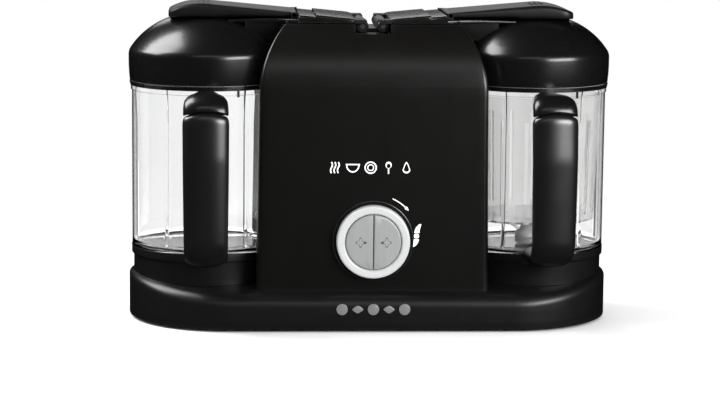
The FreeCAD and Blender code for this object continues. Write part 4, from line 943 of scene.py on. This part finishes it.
@dataclass
class Bowl:
    """Clear bowl with its foot, collar, handle and handle cap."""

    side: Side
    bowl_x: float
    turn: float = 0.0
    radius: float = 62 * MM
    wall: float = 3 * MM
    floor: float = 57 * MM
    collar: float = 189.7 * MM
    collar_step: float = 0.9 * MM
    rim: float = 196.5 * MM
    rib_height: float = 2.2 * MM
    rib_width: float = 0.016
    rib_spread: float = 32.4
    foot_radius: float = 60.8 * MM
    foot_low: float = 31.4 * MM
    boss: float = 9.05 * MM
    shaft: float = 4.06 * MM
    reach: float = 97.5 * MM
    bridge_top: float = 188 * MM
    bridge_low: float = 61 * MM
    cap_z: float = 177 * MM
    half_width: float = 18 * MM
    half_thick: float = 8.5 * MM
    dish: float = 1.5 * MM
    arch: float = 3.4 * MM
    tuck: float = 3.2 * MM
    belly_z: float = 142 * MM
    tab_turn: float = 0.42

    @property
    def axis(self) -> tuple[float, float]:
        """Place of the bowl's own axis."""
        return (self.bowl_x * self.side.value, 0.0)

    def ribbed(self, angle: Array, radius: Array, height: Array) -> Array:
        """Radius drawn in on the inside wall at six upright ribs, each a narrow bell in the angle."""
        apart = self.rib_spread
        spread = np.radians([-apart, apart, 90, -90, 180 - apart, 180 + apart])
        ribs = spread - math.pi / 2 + self.turn
        away = np.min(np.abs((angle[..., None] - ribs + math.pi) % (2 * math.pi) - math.pi), axis=-1)
        bell = np.exp(-(away / self.rib_width) ** 2)
        inside = (radius < self.radius - self.wall * 0.6) & (radius > self.radius - self.wall * 1.5)
        upright = (height > self.floor + 8 * MM) & (height < self.collar - 8 * MM)
        return radius - self.rib_height * bell * (inside & upright)

    def glass(self) -> bpy.types.Object:
        """Closed wall profile: outer wall, rim, inner wall with a shoulder, rounded floor and hub hole."""
        inner = self.radius - self.wall
        line = 181 * MM
        steps = np.linspace(self.floor + 12 * MM, line - 16 * MM, 9)
        down = [(inner, float(z), 0.0) for z in steps[::-1]]
        profile = rounded([
            (self.boss, self.floor, 0.0), (self.radius - 0.8 * MM, self.floor, 0.0),
            (self.radius, self.floor + 0.8 * MM, 0.0), (self.radius, self.collar, 0.2 * MM),
            (self.radius + self.collar_step, self.collar + 0.3 * MM, 0.3 * MM),
            (self.radius + self.collar_step, self.rim - 0.6 * MM, 0.4 * MM),
            (self.radius, self.rim, 0.0), (inner + 1.2 * MM, self.rim, 0.0),
            (inner + 0.7 * MM, self.rim - 0.6 * MM, 0.0), (inner + 0.7 * MM, line, 0.0),
            *down, (inner, self.floor + self.wall, 6 * MM),
            (self.boss, self.floor + self.wall, 0.0)], steps=8)
        return lathe(f"{self.side.word}_clear_bowl", profile, self.axis, 360, self.ribbed)

    def foot(self) -> bpy.types.Object:
        """Foot: outer skirt with an eased step, floor and hub that the shaft turns in."""
        wall, under = 3 * MM, self.floor - 3 * MM
        profile = rounded([
            (self.shaft, self.foot_low, 0.0), (12 * MM, self.foot_low, 0.5 * MM), (12 * MM, under, 1 * MM),
            (self.foot_radius - wall, under, 2 * MM), (self.foot_radius - wall, self.foot_low, 0.5 * MM),
            (self.foot_radius - 0.6 * MM, self.foot_low, 0.6 * MM),
            (self.foot_radius, self.foot_low + 3 * MM, 1 * MM),
            (self.foot_radius, self.floor - 4 * MM, 0.6 * MM),
            (self.radius + 0.5 * MM, self.floor - 3.4 * MM, 0.6 * MM),
            (self.radius + 0.5 * MM, self.floor + 3.2 * MM, 0.2 * MM),
            (self.radius + 0.05 * MM, self.floor + 3.2 * MM, 0.0),
            (self.radius + 0.05 * MM, self.floor - 0.02 * MM, 0.0),
            (self.boss - 0.05 * MM, self.floor - 0.02 * MM, 0.0),
            (self.boss - 0.05 * MM, self.floor + wall, 0.4 * MM), (self.shaft, self.floor + wall, 0.4 * MM)])
        return lathe(f"{self.side.word}_foot_skirt", profile, self.axis, 200)

    def path(self, corners: Sequence[tuple[float, float, float]]) -> Array:
        """Centre line of a stretch of handle in the plane of reach and height, evenly divided."""
        line = rounded(corners, closed=False, steps=16)
        gap = np.concatenate([[0], np.cumsum(np.linalg.norm(np.diff(line, axis=0), axis=1))])
        even = np.linspace(0, gap[-1], 90)
        return np.stack([np.interp(even, gap, line[:, 0]), np.interp(even, gap, line[:, 1])], axis=-1)

    def stretch(self, name: str, line: Array, width: Array, thick: Array, power: float,
                arch: Array, dish_at: Array | None = None) -> bpy.types.Object:
        """Super-ellipse carried along a line in the bowl's front plane, then turned with the bowl.

        Args:
            name: the piece's name.
            line: reach and height of the centre line.
            width: half-width at each point.
            thick: half-thickness at each point.
            power: squareness of the section.
            arch: how far the middle of each section is lifted above its sides.
            dish_at: squared share of the way out of an oval thumb dish, along the line.

        Returns:
            The closed sweep.
        """
        along = np.gradient(line, axis=0)
        along /= np.linalg.norm(along, axis=1)[:, None]
        across = np.stack([along[:, 1], -along[:, 0]], axis=-1)
        ring = oval(1.0, 1.0, power, 56)
        side = width[:, None] * ring[None, :, 0]
        offset = thick[:, None] * ring[None, :, 1]
        if dish_at is not None:
            away = np.sqrt(dish_at + (ring[None, :, 0] / 0.6) ** 2)
            sunk = np.clip((1 - away) / 0.22, 0, 1)
            offset = offset - self.dish * np.sign(ring[None, :, 1]).clip(0) * sunk ** 2 * (3 - 2 * sunk)
        reach = line[:, None, 0] + across[:, None, 0] * offset
        height = line[:, None, 1] + across[:, None, 1] * offset
        height = height + arch[:, None] * (1 - ring[None, :, 0] ** 2)
        sine, cosine = math.sin(self.turn), math.cos(self.turn)
        x = self.axis[0] + side * cosine + reach * sine
        y = side * sine - reach * cosine
        return surface(name, np.stack([x, y, height], axis=-1))

    def handle(self) -> bpy.types.Object:
        """Grip: down from the cap, in at the foot; fullest below the cap and slimmer towards the foot."""
        gap = 0.25 * MM
        line = self.path([(self.reach - self.tuck, self.cap_z - gap, 0),
                          (self.reach, self.belly_z, 90 * MM), (self.reach, self.bridge_low, 16 * MM),
                          (self.radius + 0.1 * MM, self.bridge_low, 0)])
        share = np.linspace(0, 1, len(line))
        width = (self.half_width + 0.6 * MM) * (1 - 0.08 * share ** 1.5)
        thick = self.half_thick * (1 - 0.14 * share)
        lead = np.sqrt(1 - (1 - np.clip(share / 0.045, 0, 1)) ** 2)
        width = width * (0.88 + 0.12 * lead)
        thick = thick * (0.5 + 0.5 * lead)
        arch = self.arch * np.clip(1 - share / 0.16, 0, 1) ** 2
        return self.stretch(f"{self.side.word}_grip", line, width, thick, 2.15, arch)

    def cap(self) -> bpy.types.Object:
        """Cap: out from the collar and over the top of the grip, arched and drawn in at its sides."""
        line = self.path([(self.radius + 0.5 * MM, self.bridge_top, 0),
                          (self.reach - self.tuck - 1 * MM, self.bridge_top, 10 * MM),
                          (self.reach - self.tuck, self.cap_z + 0.25 * MM, 0)])
        share = np.linspace(0, 1, len(line))
        width = self.half_width * np.interp(share, [0, 0.45, 0.58, 0.7, 0.82, 0.97, 1],
                                            [0.62, 0.72, 0.88, 0.97, 1.0, 1.01, 0.98])
        thick = self.half_thick * np.interp(share, [0, 0.5, 0.97, 1], [0.74, 0.8, 0.93, 0.86])
        oval_at = ((share - 0.68) / 0.24)[:, None] ** 2
        arch = self.arch * np.clip((share - 0.55) / 0.45, 0, 1) ** 2
        return self.stretch(f"{self.side.word}_grip_cap", line, width, thick, 2.4, arch, oval_at)

    def seat_ring(self) -> bpy.types.Object:
        """Black seat ring under the lid: three shallow lips, each a little narrower than the last."""
        inner, low, high = self.radius + 1.0 * MM, self.rim - 2.9 * MM, self.rim + 0.7 * MM
        step, groove = (high - low) / 3, 0.35 * MM
        corners = [(inner, high, 0.0), (inner, low, 0.0)]
        for count in range(3):
            outer = self.radius + (1.35 + 0.3 * count) * MM
            base = low + step * count
            corners += [(outer, base, 0.12 * MM), (outer, base + step * 0.72, 0.2 * MM),
                        (outer - groove, base + step * 0.84, 0.0), (outer - groove, base + step, 0.0)]
        ring = lathe("seat_lips", rounded(corners[1:] + corners[:1], steps=4), self.axis, 200)
        return joined(f"{self.side.word}_seat_ring", [ring, self.tab()])

    def tab(self) -> bpy.types.Object:
        """Small stop tab that hangs from the seat ring: a rounded upright section between two heights."""
        near, far, reach = self.radius + 1.1 * MM, self.radius + 2.2 * MM, 1.0 * MM
        section = rounded([(-reach, near, 0.2 * MM), (reach, near, 0.2 * MM),
                           (reach, far, 0.4 * MM), (-reach, far, 0.4 * MM)], steps=4)
        turn = self.turn - math.pi / 2 + self.tab_turn
        x = self.axis[0] + section[:, 1] * math.cos(turn) - section[:, 0] * math.sin(turn)
        y = section[:, 1] * math.sin(turn) + section[:, 0] * math.cos(turn)
        rows = [np.column_stack([x, y, np.full(len(x), z)])
                for z in (self.collar - 1.2 * MM, self.rim - 1 * MM)]
        return surface("seat_tab", np.array(rows))

    def build(self) -> None:
        """Make and dress every piece of the bowl."""
        word = self.side.word
        body = f"{word}_bowl"
        dress(self.glass(), CLEAR_BOWL, body, [f"{word}_bowl"])
        dress(self.foot(), SATIN_BLACK, body, [f"{word}_bowl_foot"])
        dress(self.handle(), GRIP_BLACK, body, [f"{word}_handle"])
        dress(self.cap(), GLOSS_BLACK, body, [f"{word}_handle_cap"])
        dress(self.seat_ring(), GLOSS_BLACK, body)


@dataclass
class Blades:
    """Moulded hub with four swept steel blades."""

    side: Side
    bowl_x: float
    hub_radius: float = 11 * MM
    reach: float = 49 * MM
    width: float = 11 * MM
    thick: float = 1.5 * MM
    bore: float = 4 * MM
    cap_wall: float = 1.8 * MM

    def blade(self, count: int, low: float) -> bpy.types.Object:
        """One blade: a band that sweeps back, narrows to its tip and rises or dips along its length."""
        share = np.linspace(0, 1, 24)
        radius = self.hub_radius * 0.6 + (self.reach - self.hub_radius * 0.6) * share
        angle = math.pi / 2 * count + 0.35 * share ** 2
        lift = low + 5 * MM + (8 * MM * share ** 2 if count % 2 else -0.5 * MM * share)
        half = self.width / 2 * (1 - 0.75 * share ** 3)
        edge = np.array([(-1, -0.1), (-0.2, -0.5), (0.5, -0.5), (1, -0.1), (1, 0.1), (0.5, 0.5),
                         (-0.2, 0.5), (-1, 0.1)])
        across = half[:, None] * edge[None, :, 0]
        up = lift[:, None] + self.thick * edge[None, :, 1]
        x = self.bowl_x * self.side.value + radius[:, None] * np.cos(angle)[:, None] \
            - across * np.sin(angle)[:, None]
        y = radius[:, None] * np.sin(angle)[:, None] + across * np.cos(angle)[:, None]
        return surface("blade", np.stack([x, y, np.broadcast_to(up, x.shape)], axis=-1))

    def build(self) -> None:
        """Make the blades and the hub."""
        word = self.side.word
        low, high = (corner.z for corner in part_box(f"{word}_blade_hub"))
        blades = joined(f"{word}_steel_blades", [self.blade(count, low) for count in range(4)])
        dress(blades, STAINLESS, f"{word}_drive", [f"{word}_blades"])
        hub = self.hub_radius
        bore, under = self.bore, high - self.cap_wall
        profile = rounded([(bore, low, 0.0), (hub, low, 1 * MM), (hub, low + 9 * MM, 3 * MM),
                           (hub * 0.62, low + 12 * MM, 2 * MM), (hub * 0.5, high, 2.5 * MM),
                           (1e-5, high, 0.0), (1e-5, under, 0.0), (bore, under, 0.0)])
        turned = lathe(f"{word}_moulded_hub", profile, (self.bowl_x * self.side.value, 0.0), 96)
        dress(turned, WHITE_PLASTIC, f"{word}_drive", [f"{word}_blade_hub"])


# ---------------------------------------------------------------- knob, prints and badge

@dataclass
class Knob:
    """Turning ring with two half-round buttons and their pictures."""

    radius: float = 30 * MM
    inner: float = 22.9 * MM
    seat: float = 1 * MM
    shaft: float = 8 * MM
    button: float = 22.4 * MM
    split: float = 0.5 * MM
    icon_x: float = 10.6 * MM

    def __post_init__(self) -> None:
        """Read places from the frame."""
        low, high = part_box("knob_ring")
        self.z = (low.z + high.z) / 2
        self.front = -low.y
        self.back = -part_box("left_pulse_button")[1].y
        self.foot = self.front - 7.6 * MM
        self.shaft_end = -high.y

    def ring(self) -> bpy.types.Object:
        """Ring with rounded lips, a sloped inner lead, its seat and its shaft."""
        front, foot = self.front, self.foot
        profile = rounded([
            (1e-5, self.shaft_end, 0.0), (self.shaft, self.shaft_end, 0.5 * MM), (self.shaft, foot, 0.0),
            (self.radius - 0.4 * MM, foot, 0.4 * MM), (self.radius, foot + 1 * MM, 0.6 * MM),
            (self.radius - 0.4 * MM, front, 1.8 * MM),
            (self.inner + 1.2 * MM, front - 0.5 * MM, 0.9 * MM),
            (self.inner, front - 2.2 * MM, 0.5 * MM), (self.inner, foot + self.seat, 0.2 * MM),
            (1e-5, foot + self.seat, 0.0)], steps=8)
        return lathe("knob_rim", profile, (0.0, self.z), 200, facing=True)

    def half(self, side: Side) -> bpy.types.Object:
        """Half disc with an eased rim, gently crowned: rows shrink towards the face's middle."""
        turn = np.radians(np.linspace(-90, 90, 64))
        gap = self.split
        arc_x = np.maximum(self.button * np.cos(turn), gap)
        arc_z = self.button * np.sin(turn)
        outline = np.stack([arc_x, arc_z], axis=-1)
        chord = np.linspace(1, -1, 24)[1:-1, None] * np.array([[0, arc_z[-1]]]) + np.array([[gap, 0]])
        outline = np.concatenate([outline, chord])
        centre = np.array([self.button * 0.42, 0.0])
        face = self.front - 0.6 * MM
        levels = [(self.back, 1.0), (face - 1.1 * MM, 1.0), (face - 0.45 * MM, 0.988),
                  (face - 0.3 * MM, 0.955), (face - 0.28 * MM, 0.935), (face, 0.915),
                  (face + 0.05 * MM, 0.6), (face + 0.08 * MM, 0.05)]
        rows = []
        for depth, scale in levels:
            flat = centre + (outline - centre) * scale
            rows.append(np.column_stack([flat[:, 0] * side.value, np.full(len(flat), -depth),
                                         self.z + flat[:, 1]]))
        return surface(f"{side.word}_button_cap", np.array(rows))

    def picture(self, side: Side) -> bpy.types.Object:
        """Blade picture: a diamond outline with a small leaf towards the middle."""
        face = self.front - 0.55 * MM
        back, front = -face, -face - 0.1 * MM
        turn = full_turn(48)
        reach = 4.3 * MM * (0.74 + 0.26 * np.cos(4 * turn))
        loop = np.stack([reach * np.cos(turn) * 0.95, reach * np.sin(turn)], axis=-1)
        inner = loop * 0.8
        centre = np.array([self.icon_x * side.value, self.z])
        rows = [np.column_stack([centre[0] + line[:, 0], np.full(len(turn), y), centre[1] + line[:, 1]])
                for line, y in ((inner, back), (loop, back), (loop, front), (inner, front))]
        diamond = surface("diamond", np.array(rows), wrap_rows=True)
        leaf = np.stack([1.6 * MM * np.cos(turn),
                         0.75 * MM * np.sin(turn) * (1 + 0.3 * np.cos(turn))], axis=-1)
        shift = (centre[0] - 3.6 * MM * side.value, centre[1] - 0.2 * MM)
        return joined(f"{side.word}_button_picture", [diamond, token("leaf", leaf, shift, back, front)])

    def build(self) -> None:
        """Make the ring, both buttons and their pictures."""
        dress(self.ring(), RING_WHITE, "knob", ["knob_ring"])
        for side in Side:
            body = f"{side.word}_button"
            dress(self.half(side), DISC_SILVER, body, [f"{side.word}_pulse_button"])
            dress(self.picture(side), ICON_GREY, body)


@dataclass
class Prints:
    """Printed pictures and lamp on the tower's front, and metal tokens on the base."""

    knob_z: float
    proud: float = 0.12 * MM
    lens_proud: float = 0.35 * MM
    stroke: float = 1.0 * MM
    row_z: float = 133 * MM
    row_pitch: float = 14.5 * MM
    row_x: float = -2.5 * MM
    icon: float = 5.0 * MM

    def face_y(self, z: float) -> float:
        """Place of the tower's front face at a height: a straight lean between foot and shoulder."""
        low, high = -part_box("tower_front_cover")[0].y, Tower.shoulder_y
        return -(low + (high - low) * (z - Tower.low) / (Tower.shoulder - Tower.low))

    def line(self, name: str, path: Array, width: Array, centre: tuple[float, float]) -> bpy.types.Object:
        """Printed line just proud of the tower's face."""
        y = self.face_y(centre[1])
        return ribbon(name, path, width, centre, y + PRINT_ROOT, y - self.proud)

    def loop(self, name: str, outline: Array, centre: tuple[float, float], share: float) -> bpy.types.Object:
        """Printed closed line: an outline and the same outline drawn in."""
        y = self.face_y(centre[1])
        root, face = y + PRINT_ROOT, y - self.proud
        drawn_in = outline * share
        rows = [np.column_stack([centre[0] + line[:, 0], np.full(len(line), depth), centre[1] + line[:, 1]])
                for line, depth in ((drawn_in, root), (outline, root), (outline, face), (drawn_in, face))]
        return surface(name, np.array(rows), wrap_rows=True)

    def pictures(self) -> bpy.types.Object:
        """Row of generic kitchen pictures: steam, bowl, plate, spoon and drop."""
        size, stroke = self.icon, self.stroke
        parts = []
        place = [(self.row_x + (count - 2) * self.row_pitch, self.row_z) for count in range(5)]
        rise = np.linspace(-1, 1, 30)
        for shift in (-0.55, 0.0, 0.55):
            wave = np.stack([size * (shift + 0.14 * np.sin(rise * math.pi)), size * rise * 0.9], axis=-1)
            parts.append(self.line("steam", wave, np.full(30, stroke), place[0]))
        half = np.radians(np.linspace(180, 360, 40))
        bowl = np.stack([size * np.cos(half), size * 0.45 + size * 1.15 * np.sin(half)], axis=-1)
        parts.append(self.line("bowl", bowl, np.full(40, stroke), place[1]))
        edge = np.stack([np.linspace(-1.15, 1.15, 12) * size, np.full(12, size * 0.5)], axis=-1)
        parts.append(self.line("bowl_edge", edge, np.full(12, stroke), place[1]))
        turn = full_turn(60)
        circle = np.stack([np.cos(turn), np.sin(turn)], axis=-1)
        parts.append(self.loop("plate", circle * size, place[2], 0.8))
        parts.append(self.loop("plate_well", circle * size * 0.55, place[2], 0.72))
        spoon = np.stack([0.5 * np.cos(turn), 0.42 + 0.55 * np.sin(turn)], axis=-1) * size
        parts.append(self.loop("spoon_bowl", spoon, place[3], 1 - 1.6 * stroke / size))
        stem = np.stack([np.zeros(12), np.linspace(-1.0, -0.1, 12) * size], axis=-1)
        parts.append(self.line("spoon_stem", stem, np.full(12, stroke), place[3]))
        drop = np.stack([0.62 * np.cos(turn) * (1 - 0.5 * np.clip(np.sin(turn), 0, 1) ** 0.7),
                         -0.3 + np.where(np.sin(turn) > 0, 1.25, 0.62) * np.sin(turn)], axis=-1) * size
        parts.append(self.loop("drop", drop, place[4], 0.72))
        return joined("printed_pictures", parts)

    def arrow(self) -> bpy.types.Object:
        """Curved arrow above the knob that shows which way it turns."""
        angle = np.radians(np.linspace(66, 41, 30))
        path = np.stack([np.cos(angle), np.sin(angle)], axis=-1) * 38 * MM
        width = np.interp(np.linspace(0, 1, 30), [0, 0.05, 0.78, 0.8, 1.0],
                          [0.4 * MM, 0.75 * MM, 0.85 * MM, 3.0 * MM, 0.1 * MM])
        return self.line("turn_arrow", path, width, (0.0, self.knob_z))

    def bezel(self) -> bpy.types.Object:
        """Thin raised ring round the knob's recess."""
        y = self.face_y(self.knob_z)
        profile = np.array([(32.2, 0.5), (33.0, 0.5), (33.0, -0.35), (32.6, -0.5), (32.2, -0.35)]) * MM
        profile[:, 1] = -y - profile[:, 1]
        return lathe("knob_bezel", profile, (0.0, self.knob_z), 160, facing=True)

    def lamp(self) -> bpy.types.Object:
        """Steam lamp: a rising wisp in three lenses, two leaves and a bead between them."""
        low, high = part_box("steam_lamp")
        x, z = (low.x + high.x) / 2, (low.z + high.z) / 2
        y = self.face_y(z)
        share = np.linspace(0, 1, 26)
        parts = []
        upper = np.stack([0.4 * MM + 3.2 * MM * share ** 2, 2.6 * MM + 7.4 * MM * share], axis=-1)
        lower = np.stack([-3.2 * MM * share ** 2, -2.4 * MM - 6.4 * MM * share], axis=-1)
        swell = 4.1 * MM * np.sqrt(np.clip(1 - share ** 1.6, 0.004, 1))
        root, face = y + PRINT_ROOT, y - self.lens_proud
        for path in (upper, lower):
            parts.append(ribbon("wisp", path, swell, (x, z), root, face))
        bead = oval(2.1 * MM, 1.9 * MM, 2.4, 30)
        parts.append(token("wisp_bead", bead, (x + 0.1 * MM, z + 0.1 * MM), root, face, 0.2 * MM))
        return joined("steam_wisp_lamp", parts)

    def badge(self) -> bpy.types.Object:
        """Row of five plain metal tokens: disc, lozenge, disc, lozenge, disc."""
        low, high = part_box("front_badge")
        front, back = low.y, high.y + 0.4 * MM
        z = (low.z + high.z) / 2
        parts = []
        for count in range(5):
            x = low.x + (high.x - low.x) * (0.077 + 0.2115 * count)
            height, power = (3.2 * MM, 1.25) if count % 2 else (4.6 * MM, 2.0)
            shape = oval(4.6 * MM, height, power, 40)
            parts.append(token("badge_token", shape, (x, z), back, front, 0.35 * MM))
        return joined("badge_tokens", parts)

    def build(self) -> None:
        """Make and dress the prints, bezel, lamp and badge."""
        # The pictures and the arrow carry the print finish's painted glow.
        dress(self.pictures(), GLOWING_WHITE_PRINT, "machine")
        dress(self.arrow(), GLOWING_WHITE_PRINT, "machine")
        dress(self.bezel(), GLOSS_BLACK, "machine")
        dress(self.lamp(), LAMP_WHITE, "machine", ["steam_lamp"])
        dress(self.badge(), BADGE_METAL, "machine", ["front_badge"])


# ---------------------------------------------------------------- studio

@dataclass
class Studio:
    """Camera, floor and soft lights."""

    camera_place: tuple[float, float, float] = (-0.119, -1.965, 0.3853)
    yaw: float = 0.057
    pitch: float = -0.150
    roll: float = 0.010
    lens: float = 118.4
    floor_front: float = -0.62
    floor_back: float = 0.35
    floor_half: float = 1.5

    def camera(self) -> None:
        """Long-lens camera a little above the lids, turned slightly towards the right-hand bowl."""
        data = bpy.data.cameras.new("camera")
        data.lens = self.lens
        data.sensor_width = 36
        data.clip_end = 50
        made = placed("camera", data)
        ahead = Vector((math.sin(self.yaw) * math.cos(self.pitch), math.cos(self.yaw) * math.cos(self.pitch),
                        math.sin(self.pitch)))
        right = Vector((math.cos(self.yaw), -math.sin(self.yaw), 0))
        up = right.cross(ahead)
        right, up = (right * math.cos(self.roll) + up * math.sin(self.roll),
                     up * math.cos(self.roll) - right * math.sin(self.roll))
        turn = Matrix((right, up, -ahead)).transposed().to_4x4()
        made.matrix_world = Matrix.Translation(self.camera_place) @ turn
        bpy.context.scene.camera = made

    def floor(self) -> None:
        """Plain pale floor of limited reach, so that upright faces mirror little of it."""
        across, depth = np.meshgrid(np.linspace(-self.floor_half, self.floor_half, 9),
                                    np.linspace(self.floor_front, self.floor_back, 9), indexing="ij")
        points = np.stack([across, depth, np.zeros_like(across)], axis=-1)
        made = surface("floor", points, wrap_columns=False, caps=False)
        made.data.materials.append(FLOOR_WHITE.material())
        made.visible_glossy = False

    def light(self, name: str, turn: float, rise: float, away: float, size: tuple[float, float],
              power: float, aim: tuple[float, float, float] = (0.0, 0.0, 0.15)) -> None:
        """One rectangular soft light, not itself seen by the camera.

        Args:
            name: the light's name.
            turn: direction from the aim, in degrees from the front towards +X.
            rise: elevation in degrees.
            away: distance from the aim.
            size: width and height.
            power: watts.
            aim: point that it faces.
        """
        level, around = math.radians(rise), math.radians(turn)
        place = Vector(aim) + away * Vector((math.cos(level) * math.sin(around),
                                             -math.cos(level) * math.cos(around), math.sin(level)))
        data = bpy.data.lights.new(name, "AREA")
        data.shape = "RECTANGLE"
        data.size, data.size_y = size
        data.energy = power
        made = placed(name, data)
        made.location = place
        made.rotation_euler = (Vector(aim) - place).to_track_quat("-Z", "Y").to_euler()
        made.visible_camera = False

    def sky(self) -> None:
        """White surroundings that light the object and show behind it, but stay out of its gloss."""
        world = bpy.data.worlds.new("studio")
        world.use_nodes = True
        white = world.node_tree.nodes["Background"]
        white.inputs["Color"].default_value = (1.0, 1.0, 1.0, 1.0)
        white.inputs["Strength"].default_value = 1.0
        bpy.context.scene.world = world
        world.cycles_visibility.glossy = False
        bpy.context.scene.view_settings.view_transform = "Standard"

    def build(self) -> None:
        """Set the stage."""
        self.camera()
        self.floor()
        self.sky()
        self.light("left_box", -98, 44, 1.4, (0.8, 1.0), 26)
        self.light("right_box", 42, 15, 1.4, (0.9, 0.45), 17)
        self.light("front_box", 0, 34, 1.9, (1.4, 0.3), 1.6)
        self.light("rear_strip", 180, 24, 1.6, (1.2, 0.35), 2.5)


def dress_frame() -> None:
    """Give every node that is carried over from the frame the finish of its slot."""
    for entry in frame["record"]["subparts"]:
        node = frame["nodes"][entry["node"]]
        if node.hide_render:
            continue
        node.data.materials.clear()
        node.data.materials.append(SLOT_FINISHES[entry["material_slot"]].material())


def main() -> None:
    """Build the object and its studio."""
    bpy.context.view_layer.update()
    bowl_x = sum(corner.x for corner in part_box("right_drive_pulley")) / 2
    Studio().build()
    Base(bowl_x=bowl_x).build()
    Tower(bowl_x=bowl_x).build()
    turns = {Side.LEFT: 0.0, Side.RIGHT: math.radians(5)}
    for side in Side:
        Lid(side, bowl_x).build()
        Lever(side).build()
        Bowl(side, bowl_x, turns[side]).build()
        Blades(side, bowl_x).build()
    knob = Knob()
    knob.build()
    Prints(knob.z).build()
    dress_frame()


if __name__ == "__main__":
    main()
